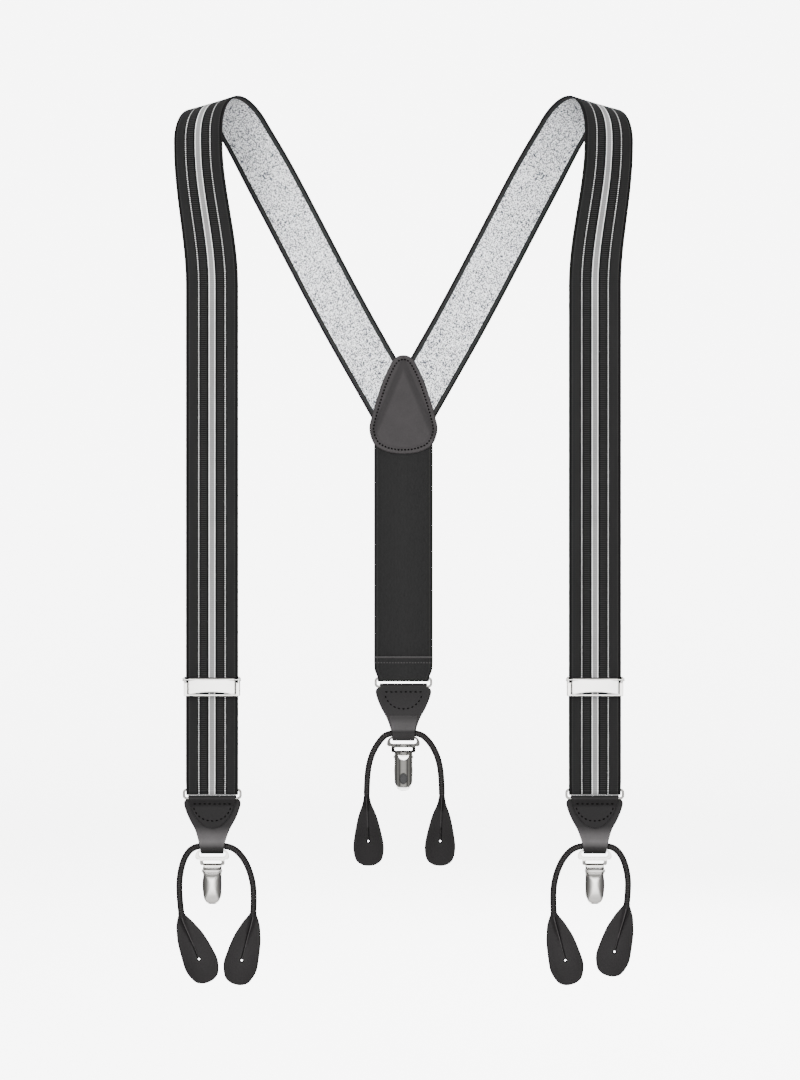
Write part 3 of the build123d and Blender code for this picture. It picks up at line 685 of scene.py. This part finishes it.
def panel(flat, tris, gap, front, back, place):
    """Two skins over a flat mesh, joined at the rim. front and back give the offset of each point."""
    n = len(flat)
    on_rim = gap < 1e-4
    front = np.where(on_rim, (front + back) / 2, front)
    behind = np.where(on_rim, np.arange(n), np.arange(n) + n)
    verts, number = [], {}

    def vertex(i):
        if i not in number:
            number[i] = len(verts)
            k = i % n
            verts.append(place(flat[k][0], front[k] if i < n else back[k], flat[k][1]))
        return number[i]

    faces, uvs = [], []
    for t in tris:
        for corners, skin in ((t, range(n)), (t[::-1], behind)):
            faces.append(tuple(vertex(int(skin[i])) for i in corners))
            uvs += [(flat[i][0] * MM, flat[i][1] * MM) for i in corners]
    return verts, faces, uvs


def rounded(gap, radius):
    """0 at the rim and 1 from radius inwards, along a quarter circle."""
    t = np.clip(gap / radius, 0, 1)
    return np.sqrt(np.clip(1 - (1 - t) ** 2, 0, 1))


def stitches(name, paths, length, radius, material, body):
    """Short thread capsules. paths are lists of (point, direction) in mm."""
    verts, faces, uvs = [], [], []
    rings, sides = 6, 6
    for point, direction in paths:
        point, direction = np.array(point, float), unit(np.array(direction, float))
        normal = np.array((0.0, 1.0, 0.0))
        side = unit(np.cross(direction, normal))
        first = len(verts)
        for i in range(rings + 1):
            a = pi * i / rings
            s, r = -cos(a) * length / 2, max(sin(a), 0.02) ** 0.5 * radius
            for j in range(sides):
                b = 2 * pi * j / sides
                round_it = side * (r * cos(b)) + normal * (r * 0.8 * sin(b))
                verts.append(point + direction * s + round_it)
                if i < rings:
                    uvs += [(j / sides, i * length / rings * MM)] * 4
        faces += [tuple(first + v for v in face) for face in quads(rings + 1, sides)]
        faces.append(tuple(first + j for j in range(sides))[::-1])
        uvs += [(0, 0)] * sides
        faces.append(tuple(first + rings * sides + j for j in range(sides)))
        uvs += [(0, 0)] * sides
    piece(name, verts, faces, uvs, [material], body)


# ---- strap centre line, as in the CAD
FOLD_R, FOLD_WRAP, FOLD_YAW, FOLD_RISE = 24.9, 160.0, 18.3, 0.235
FOLD_X, FOLD_Z = 137.0, -22.1
LEAN_START, LEAN_END, SETTLE = -120.0, -26.1, 0.35
CROSS_Z, BACK_ANGLE, FLAT_FROM, SEAM_Z = -210.0, 29.7, 60.0, -204.0


def smooth(t):
    t = min(1.0, max(0.0, t))
    return t * t * (3 - 2 * t)


def lean(z):
    return smooth((z - LEAN_START) / (LEAN_END - LEAN_START))


def fold_station(angle):
    yaw = radians(FOLD_YAW)
    axis = Vector((cos(yaw), -sin(yaw), FOLD_RISE * cos(yaw))).normalized()
    up = (Vector((0, 0, 1)) - axis * axis.z).normalized()
    inward = -axis.cross(up)
    turn = radians(angle)
    slide = axis.z / sqrt(1 - axis.z**2)
    middle = Vector((-FOLD_X, FRONT_Y, FOLD_Z))
    middle += (inward * (1 - cos(turn)) + up * sin(turn)) * FOLD_R + axis * (FOLD_R * turn * slide)
    travel = (inward * sin(turn) + up * cos(turn) + axis * slide).normalized()
    return middle, (axis - travel * travel.dot(axis)).normalized(), travel


def front_station(z):
    yaw = radians(FOLD_YAW) * lean(z)
    x = -FRONT_X - (FOLD_X - FRONT_X) * lean(z)
    return Vector((x, FRONT_Y, z)), Vector((cos(yaw), -sin(yaw), 0)), Vector((0, 0, 1))


def yoke_station(past):
    slant = radians(BACK_ANGLE)
    travel = Vector((sin(slant), 0, -cos(slant)))
    width = Vector((cos(slant), 0, sin(slant)))
    return Vector((0, BACK_Y, CROSS_Z)) + travel * past, width, travel


def back_station(t):
    start, width0, travel0 = fold_station(FOLD_WRAP)
    end, flat, travel1 = yoke_station(-FLAT_FROM)
    reach = (end - start).length
    middle = start * (2 * t**3 - 3 * t**2 + 1) + travel0 * ((t**3 - 2 * t**2 + t) * reach)
    middle += end * (-2 * t**3 + 3 * t**2) + travel1 * ((t**3 - t**2) * reach)
    travel = start * (6 * t**2 - 6 * t) + travel0 * ((3 * t**2 - 4 * t + 1) * reach)
    travel += end * (-6 * t**2 + 6 * t) + travel1 * ((3 * t**2 - 2 * t) * reach)
    travel.normalize()
    settle = smooth(t / SETTLE)
    width = width0 * (1 - settle) + flat * settle
    return middle, (width - travel * travel.dot(width)).normalized(), travel


def half_turn(x, y, z, radius, up):
    """Middle and travel of webbing that turns over a bar along X, or under it where up is -1."""
    turn = []
    for a in np.linspace(0, pi, 13):
        middle = (x, y + radius * cos(a), z + up * radius * sin(a))
        turn.append((middle, (0, -sin(a), up * cos(a))))
    return turn


# ---- straps
LOOSE = 1.78  # the turn hangs a little clear of the ring
ALONG_X, UP, DOWN = (1, 0, 0), (0, 0, 1), (0, 0, -1)
FOOT_Z = FRONT_RING_Z + 9.0  # top of the strap's turned end
RETURN_HALF = WEB_W / 2 - 0.2  # the run behind is a little narrower, so that it stays hidden


def strap(side, materials):
    """One webbing strap, from behind its ring, round it, up the front, over the shoulder, to the yoke."""
    ring_y, bar = FRONT_Y + LAYER, FRONT_RING_Z + RING_PITCH / 2
    foot = [((-FRONT_X, ring_y + LAYER, z), DOWN) for z in np.linspace(FOOT_Z, bar, 4)[:-1]]
    for (x, y, z), travel in half_turn(-FRONT_X, ring_y, bar, LAYER, -1):
        foot.append(((x, y, bar + (z - bar) * LOOSE), travel))
    stations = [(middle, ALONG_X, travel, RETURN_HALF) for middle, travel in foot]
    line = [front_station(z) for z in np.linspace(bar, LEAN_START, 58)[1:]]
    line += [front_station(z) for z in np.linspace(LEAN_START, LEAN_END, 13)[1:]]
    line += [fold_station(angle) for angle in np.linspace(0, FOLD_WRAP, 29)]
    line += [back_station(t) for t in np.linspace(0, 1, 31)[1:]]
    line += [yoke_station(past) for past in np.linspace(-FLAT_FROM, 0, 9)[1:]]
    stations += [(*station, WEB_W / 2) for station in line]
    webbing("webbing", side, stations, materials, ("strap", "strap_lower", "strap_fold"),
            (STRAP_SPLIT_Z, FOOT_Z + 0.1))


def strap_return(side, materials):
    """The strap's run behind, up to the slide's lower bar, over it and down inside."""
    foot, foot_y = FOOT_Z + 0.02, FRONT_Y + 2 * LAYER
    slide_low = ADJUSTER_Z - ADJUSTER_H / 2
    hem_low = slide_low - HEM_H
    bar_y, bar_z, radius = FRONT_Y + 2.75, slide_low + 2.15, 0.5 + WEB_T / 2
    run = []
    for t in np.linspace(0, 1, 25):
        y, z = foot_y + (bar_y + radius - foot_y) * t, foot + (hem_low - foot) * t
        run.append(((-FRONT_X, y, z), UP))
    run += [((-FRONT_X, bar_y + radius, z), UP) for z in np.linspace(hem_low, bar_z, 6)[1:]]
    run += half_turn(-FRONT_X, bar_y, bar_z, radius, 1)[1:]
    run += [((-FRONT_X, bar_y - radius, z), DOWN) for z in np.linspace(bar_z, hem_low, 7)[1:]]
    stations = [(middle, ALONG_X, travel, RETURN_HALF) for middle, travel in run]
    webbing("return", side, stations, materials, ("strap_return", "strap_end"),
            (foot + 0.3, hem_low - 0.3), turned=True)


def webbing(name, side, stations, materials, parts, stretch, turned=False):
    """A band of webbing for one side. The heights in stretch are not used.

    Turned webbing has its striped face where other webbing has its speckled back."""
    verts, faces, uvs, which, along = ribbon(stations, WEB_T)
    verts = np.array(verts)
    # the two straps meet under the patch without overlapping
    verts[:, 0] = np.where(verts[:, 1] > BACK_Y - 2, np.minimum(verts[:, 0], -0.2), verts[:, 0])
    if turned:
        which = [1 - w for w in which]
    x = -FRONT_X
    if side == "right":
        x = FRONT_X
        verts[:, 0] *= -1
        faces, uvs = flip(faces, uvs)
    o = piece(f"{name}_{side}", verts, faces, uvs, materials, None,
              [f"{part}_{side}" for part in parts], which)
    start, end = ((x * MM, FRONT_Y * MM, z * MM) for z in stretch)
    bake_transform(o)
    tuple(start)
    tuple(end)


def flip(faces, uvs):
    """Turns each face the other way round, after a mirror."""
    out, at = [], 0
    for f in faces:
        k = len(f)
        out += list(uvs[at:at + k])[::-1]
        at += k
    return [tuple(f)[::-1] for f in faces], out


def rear_elastic():
    """The rear elastic: down from the yoke, round its ring, and up inside as a hem."""
    ring_y, bar = BACK_Y - LAYER, REAR_RING_Z + RING_PITCH / 2
    top, hem_top = SEAM_Z - 0.3, bar + REAR_HEM_H - 1.0

    def half_at(z):
        return float(np.interp(z - REAR_RING_Z, [0, 3.4, 8.6, 14], [17.3, 17.6, 19.7, 20.0]))

    run = [((0, BACK_Y, z), DOWN) for z in np.linspace(top, bar, 48)[:-1]]
    run += half_turn(0, ring_y, bar, LAYER, -1)
    run += [((0, ring_y - LAYER, z), UP) for z in np.linspace(bar, hem_top, 10)[1:]]
    stations = [(middle, ALONG_X, travel, half_at(max(middle[2], bar))) for middle, travel in run]
    verts, faces, uvs, _, along = ribbon(stations, WEB_T)
    material = black_elastic(along[-1] / MM)
    o = piece("elastic", verts, faces, uvs, [material], None, ("rear_elastic", "rear_hem"))
    start, end = ((0, BACK_Y * MM, z * MM) for z in (PATCH[-1][1] - 4, hem_top - 2))
    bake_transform(o)
    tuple(start)
    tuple(end)


# ---- yoke
PATCH = [(0, -164.4), (6.4, -167.3), (13.2, -179.9), (17.8, -193.0), (21.6, -206.0),
         (23.3, -215.5), (19.6, -225.6), (11.0, -230.6), (0, -232.0)]


def yoke_patch(name, node, facing, hide, sewing):
    """Teardrop of leather with a stitched groove inside a raised rim. facing is -1 towards the front."""
    outline = spline(PATCH[:-1] + [(-x, z) for x, z in PATCH[:0:-1]], 150, closed=True)
    flat, tris, gap = sheet_of(outline, [], 1.6)
    skin, seam_in, count = 1.4, 3.0, 72
    near = BACK_Y + facing * (WEB_T / 2 + 0.05)
    groove = 0.6 * np.exp(-((gap - seam_in) / 0.7) ** 2)
    dome = 0.28 * (1 - np.clip(1 - gap / 14, 0, 1) ** 2)
    out = skin * rounded(gap, 1.1) - groove + dome
    on_rim = gap < 1e-4
    front = np.where(on_rim, near + facing * 0.1, near + facing * np.maximum(out, 0.02))
    back = np.where(on_rim, near + facing * 0.1, near)
    verts, faces, uvs = panel(flat, tris, gap, front, back, lambda x, y, z: (x, y, z))
    if facing > 0:
        faces, uvs = flip(faces, uvs)
    piece(name, verts, faces, uvs, [hide], "straps", (node,))
    moved = outline + inward_of(outline) * seam_in
    seam = moved[rim_distance(moved, [outline]) > seam_in * 0.93]
    row = spread(seam, count, closed=True)
    marks = []
    for a, b in zip(row, np.roll(row, -1, 0)):
        x, z = (a + b) / 2
        marks.append(((x, near + facing * (skin - 0.25), z), (b[0] - a[0], 0, b[1] - a[1])))
    stitches(name + "_thread", marks, 1.4, 0.6, sewing, "straps")


# ---- the three ends
INNER_RUN = [(11.2, -34.1), (19.8, -40.6), (25.6, -52.0), (28.2, -66.0), (27.4, -79.4)]
OUTER_RUN = [(-20.6, -79.6), (-22.3, -66.0), (-21.5, -52.0), (-17.8, -40.2), (-10.8, -34.1)]
SHORT_RUN = [(-21.3, -73.8), (-22.6, -62.5), (-21.6, -51.0), (-17.8, -40.2), (-10.8, -34.1)]
ROUTES = {
    "left": OUTER_RUN + INNER_RUN,
    "right": SHORT_RUN + INNER_RUN,
    "rear": [(-26.2, -76.4), (-26.0, -62.5), (-23.2, -49.6), (-17.5, -39.8), (-10.5, -34.1),
             (10.3, -34.1), (16.5, -39.9), (22.0, -49.6), (24.8, -62.5), (25.0, -76.4)],
}
TILTS = {"left": (22.0, -14.0), "right": (15.0, -14.0), "rear": (2.0, -2.0)}
# half width of an ear, and the height where it has it, from the cord's end down
FRONT_EAR = [(2.37, 0.0), (5.65, -6.2), (7.7, -12.0), (9.3, -17.5), (10.85, -28.0), (11.3, -37.0),
             (8.5, -44.9), (4.6, -47.9)]
REAR_EAR = [(1.88, 0.0), (3.03, -6.2), (5.3, -11.9), (7.1, -17.5), (9.6, -28.8), (10.45, -37.0),
            (8.8, -44.5), (4.6, -47.9)]
EAR_LENGTH, EAR_HOLE_Z, EAR_SLIT_TOP_Z = 48.7, -31.8, -21.8
EAR_HOLE_R = 0.65  # smaller than the CAD's, as it looks from the front


def placed(end):
    """Turns a point of an end, in mm from its ring's middle and facing -Y, into the shared frame."""
    if end == "rear":
        return lambda x, y, z: (-x, BACK_Y - LAYER - y, REAR_RING_Z + z)
    s = -1 if end == "left" else 1
    return lambda x, y, z: (s * FRONT_X + (x if s < 0 else -x), FRONT_Y + LAYER + y, FRONT_RING_Z + z)


def route_line(name, points):
    """Points along the smooth curve that the route's points control."""
    curve = bpy.data.curves.new(name, "CURVE")
    curve.dimensions = "3D"
    curve.resolution_u = 10
    line = curve.splines.new("NURBS")
    line.points.add(len(points) - 1)
    for p, at in zip(line.points, points):
        p.co = (*[c * MM for c in at], 1)
    line.order_u = 3
    line.use_endpoint_u = True
    holder = link(name, curve)
    mesh = bpy.data.meshes.new_from_object(holder)
    out = np.array([v.co for v in mesh.vertices]) / MM
    bpy.data.objects.remove(holder)
    bpy.data.meshes.remove(mesh)
    bpy.data.curves.remove(curve)
    return out


def tube(line, radius, sides=20):
    """A round cord along a line in a plane of constant y."""
    line = np.vstack([line[0], line[0] + unit(line[1] - line[0]) * 0.05, line[1:-1],
                      line[-1] + unit(line[-2] - line[-1]) * 0.05, line[-1]])
    n = len(line)
    verts, uvs = [], []
    run = run_of(line) * MM
    for i in range(n):
        t = unit(line[min(i + 1, n - 1)] - line[max(i - 1, 0)])
        side = unit(np.cross(t, (0, 1, 0)))
        for j in range(sides):
            a = 2 * pi * j / sides
            verts.append(line[i] + (side * cos(a) + np.array((0, 1, 0)) * sin(a)) * radius)
    faces = [(a, d, c, b) for a, b, c, d in quads(n, sides)]
    for i in range(n - 1):
        for j in range(sides):
            u0, u1 = j / sides, (j + 1) / sides
            uvs += [(u0, run[i]), (u0, run[i + 1]), (u1, run[i + 1]), (u1, run[i])]
    faces.append(tuple(range(sides)))
    uvs += [(0, run[0])] * sides
    faces.append(tuple((n - 1) * sides + j for j in range(sides))[::-1])
    uvs += [(0, run[-1])] * sides
    return verts, faces, uvs


def ear(name, node, end, at, tilt, kink, hide, body):
    """Leather ear: the cord thins to a ridge down to a buttonhole with a closed slit. The leaf is dished.

    kink is the angle from the ear's line to the cord's last stretch, which the root follows."""
    sides = REAR_EAR if end == "rear" else FRONT_EAR
    above = 1.6  # the leather starts round the cord's last stretch
    right = [(sides[0][0], above)] + sides + [(0, -EAR_LENGTH)]
    outline = spline(right + [(-x, z) for x, z in right[-2::-1]], 96)
    turns = np.linspace(0, 2 * pi, 20, endpoint=False)
    hole = [(EAR_HOLE_R * sin(a), EAR_HOLE_Z + EAR_HOLE_R * cos(a)) for a in turns]
    down = np.arange(EAR_HOLE_Z + 1.6, 0.9, 0.6)
    crease = [(x, z) for x in (-0.8, -0.4, -0.15, 0, 0.15, 0.4, 0.8) for z in down]
    flat, tris, gap = sheet_of(outline, [hole], 1.4, crease)
    x, z = flat[:, 0], flat[:, 1]
    skin = EAR_T / 2 * rounded(gap, 0.8)
    high = np.interp(-z, [-2, -0.2, 0.5, 5, 11, 17, 22, 30], [2.05, 2.05, 2.13, 2.1, 1.75, 1.25, 0.9, 0.85])
    wide = np.interp(-z, [-2, -0.2, 0.5, 4, 9, 14, 22, 30], [2.05, 2.05, 2.13, 2.0, 1.5, 1.0, 0.7, 0.6])
    ridge = high * np.sqrt(np.clip(1 - (x / wide) ** 2, 0, 1))
    ridge = np.where(gap < 1e-4, 0, ridge)
    near_slit = np.clip((-z + EAR_SLIT_TOP_Z) / 1.5, 0, 1) * np.clip((z - EAR_HOLE_Z) / 0.5, 0, 1)
    cut = 1 - 0.85 * near_slit * np.exp(-((x / 0.3) ** 2))
    lower = np.clip((-z - 4) / 26, 0, 1)
    dish = lower * (0.0085 * x**2 - 0.35) - 0.5 * lower * np.sin(np.clip((-z - 22) / 26, 0, 1) * pi)
    front = dish - np.maximum(skin, ridge) * cut
    back = dish + np.maximum(skin, ridge * np.clip(1.3 + z / 14, 0, 1)) * cut
    a = radians(tilt)
    put = placed(end)

    def place(px, py, pz):
        px += tan(radians(kink)) * pz * exp(min(pz, 0) / 6)
        turned_x, turned_z = px * cos(a) - pz * sin(a), px * sin(a) + pz * cos(a)
        return put(at[0] + turned_x, py, at[1] + turned_z)

    verts, faces, uvs = panel(flat, tris, gap, front, back, place)
    if end == "right":
        faces, uvs = flip(faces, uvs)
    return piece(name, verts, faces, uvs, [hide], body, (node,))


def runner(end, cord_hide, hide):
    """The rolled cord and its two ears."""
    route, tilts = ROUTES[end], TILTS[end]
    root = (REAR_EAR if end == "rear" else FRONT_EAR)[0][0]
    put = placed(end)
    line = route_line("route", [put(x, 0, z) for x, z in route])
    verts, faces, uvs = tube(line, CORD_R)
    body = f"runner_{end}"
    cord = piece(f"cord_{end}", verts, faces, uvs, [cord_hide], body,
                 (f"runner_cord_{end}",))
    names = ("right_rear", "left_rear") if end == "rear" else (f"outer_{end}", f"inner_{end}")
    for (x, z), (x1, z1), tilt, which in zip((route[0], route[-1]), (route[1], route[-2]), tilts, names):
        # a tilted ear starts a little below its cord's end, as in the CAD
        low = z - root * sin(radians(abs(tilt))) - 0.02
        kink = tilt - degrees(atan2(x - x1, z1 - z))
        ear(f"ear_{which}", f"runner_ear_{which}", end, (x, low), tilt, kink, hide, body)
    length = float(run_of(line)[-1]) * MM
    exit_point = [c * MM for c in put(route[0][0], 0, route[0][1])]


TAB = [(16.2, 0.0), (17.2, -2.6), (19.0, -5.8), (18.0, -10.6), (15.3, -17.2), (11.7, -23.8), (9.3, -30.4),
       (8.0, -35.8), (7.4, -42.0)]
FLAP = [(15.6, -2.9), (15.2, -6.0), (14.4, -9.0), (12.9, -12.8), (10.6, -16.4), (8.4, -19.0), (5.8, -21.2),
        (3.2, -22.4), (0.9, -22.9)]


def half_of(shape, z):
    curve = spline(shape, 60)
    order = np.argsort(curve[:, 1])
    return float(np.interp(z, curve[order, 1], curve[order, 0]))


def tab(end, hide, sewing):
    """Folded leather: flap, turn over the ring, panel, and the loop round the runner and the clip's bail."""
    inner = WIRE_R + WIRE_CLEAR
    mid = inner + LEATHER_T / 2
    bar, bend, loop_top = -RING_PITCH / 2, -8.0, -22.0
    flap_y = inner - LEATHER_T / 2

    def lift(z):
        """How far the flap slopes out over the ring at a height."""
        return max(z - bend, 0) / (bar - bend) * (flap_y + mid)

    path = []  # y, z, half width
    flap_rows = (*np.linspace(-22.9, -20.5, 7), *np.linspace(-19.6, bend, 12))
    for z in (*flap_rows, *np.linspace(bend, bar, 6)[1:-1]):
        path.append((flap_y - lift(z), z, half_of(FLAP, z)))
    for i in range(13):
        a = pi * i / 12
        path.append((-mid * cos(a), bar + mid * sin(a), 15.7 + 0.5 * sin(a)))
    path += [(mid, z, half_of(TAB, z)) for z in np.linspace(bar, loop_top, 18)[1:]]
    loop = [(mid, loop_top), (1.0, -24.4), (-1.0, -28.0), (-3.0, -31.4), (-3.65, -34.1), (-3.0, -36.5),
            (-1.85, -37.9), (-1.1, -38.8), (0, -39.25), (1.1, -38.8), (1.85, -37.9), (3.0, -36.5),
            (3.65, -34.1), (3.3, -31.4), (2.6, -28.0), (2.3, -25.0), (2.1, -22.5)]
    loop = spline(loop, 46)[1:]
    turn_at = int(np.argmin(loop[:, 1]))
    for i, (y, z) in enumerate(loop):
        half = half_of(TAB, z) if i <= turn_at else float(np.interp(z, [-39.3, -30, -24.5], [7.2, 8.2, 9.8]))
        path.append((y, z, half))
    path = np.array(path)
    stations = []
    n = len(path)
    for i, (y, z, half) in enumerate(path):
        d = unit(path[min(i + 1, n - 1), :2] - path[max(i - 1, 0), :2])
        stations.append(((0, y, z), ALONG_X, (0, d[0], d[1]), max(half, 0.9)))
    verts, faces, uvs, _, _ = ribbon(stations, LEATHER_T, columns=16)
    put = placed(end)
    verts = [put(*v) for v in verts]
    uvs = [(u * 0.035, v) for u, v in uvs]
    if end == "right":
        faces, uvs = flip(faces, uvs)
    body = f"leather_tab_{end}"
    piece(f"tab_{end}", verts, faces, uvs, [hide], body, (body,))
    row = [((x, -6.4), (1, 0)) for x in np.linspace(-11.6, 11.6, 8)]
    arc = spline([(-12.6, -8.4), (-11.3, -11.8), (-8.8, -14.9), (-5.0, -17.2), (0, -18.0), (5.0, -17.2),
                  (8.8, -14.9), (11.3, -11.8), (12.6, -8.4)], 12)
    row += [((a + b) / 2, b - a) for a, b in zip(arc, arc[1:])]
    marks = []
    for (x, z), (dx, dz) in row:
        for y in (inner - LEATHER_T - lift(z) + 0.1, inner + LEATHER_T - 0.1):
            point = np.array(put(x, y, z))
            marks.append((point, put(x + dx, y, z + dz) - point))
    stitches(f"tab_{end}_thread", marks, 1.7, 0.55, sewing, body)


# ---- metal and other CAD parts
def dress(node, material, bevel=0.0):
    """A CAD part keeps its shape and gets a better material and softened edges."""
    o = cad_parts[node]
    o.data.materials.clear()
    o.data.materials.append(material)
    if bevel:
        b = o.modifiers.new("edges", "BEVEL")
        b.width = bevel * MM
        b.segments = 2
        b.limit_method = "ANGLE"
        b.angle_limit = radians(35.0)
        b.harden_normals = True


def main():
    studio()
    webbing_sides = [striped_webbing(), speckled_webbing()]
    hide = leather("black_leather", (0.0235, 0.0216, 0.0222), rough=0.5, shine=0.1, painted_light=patch_painted_shade)
    tab_hide = leather("tab_leather", (0.019, 0.018, 0.0183), rough=0.45, shine=0.07, painted_light=tab_painted_light)
    runner_hide = leather("runner_leather", (0.0112, 0.0104, 0.0106), 1.3, 0.42, 0.07, ear_painted_light)
    # a darker copy of the runner leather: painted shade on the rear runner
    rear_shaded_hide = leather("rear_runner_leather", (0.0078, 0.0072, 0.0073), 1.3, 0.45, 0.07, ear_painted_light)
    cord_hide = rolled_leather()
    # black thread, made darker still as painted shade of the stitch holes
    sewing = thread("sewing_thread", (0.003, 0.0027, 0.0027))
    polished = nickel("polished_nickel", 0.18, (0.80, 0.785, 0.76), rim=0.6)
    # a much darker copy of the nickel: painted shade that dims the end rings' reflections
    wire = nickel("wire_nickel", 0.14, (0.27, 0.264, 0.252))
    frame_metal = nickel("frame_nickel", 0.2, (0.62, 0.605, 0.58), rim=0.9)
    satin = nickel("satin_nickel", 0.3, (0.88, 0.865, 0.835), brushed=0.1, rim=1.4)
    domed = nickel("domed_nickel", 0.34, (0.82, 0.80, 0.765), brushed=0.1, soften=2.2, rim=0.8)
    plate = nickel("plate_nickel", 0.3, (0.76, 0.745, 0.71), brushed=0.1, rim=1.0)
    # the rear clip's plate, with painted shade on its edges and ribs
    rear_plate = nickel("ribbed_nickel", 0.3, (0.60, 0.585, 0.55), brushed=0.1, painted_light=plate_ribs_painted_shade, rim=0.9)
    for end in ("left", "right", "rear"):
        runner(end, cord_hide, rear_shaded_hide if end == "rear" else runner_hide)
    for side in ("left", "right"):
        strap(side, webbing_sides)
        strap_return(side, webbing_sides)
    rear_elastic()
    yoke_patch("patch_inner", "yoke_patch_inner", -1, hide, sewing)
    yoke_patch("patch_outer", "yoke_patch_outer", 1, hide, sewing)
    for end in ("left", "right", "rear"):
        tab(end, tab_hide, sewing)
        dress(f"end_ring_{end}", wire)
        for kind in ("clip_pin", "clip_jaw"):
            dress(f"{kind}_{end}", polished, 0.05)
        dress(f"clip_body_{end}", rear_plate if end == "rear" else plate, 0.4)
        dress(f"clip_lever_{end}", domed, 0.15)
        dress(f"clip_pad_{end}", grip_pad(), 0.05)
    for side in ("left", "right"):
        dress(f"adjuster_frame_{side}", frame_metal, 0.1)
        dress(f"adjuster_pin_{side}", polished, 0.1)
        dress(f"adjuster_lever_{side}", satin, 0.3)


main()
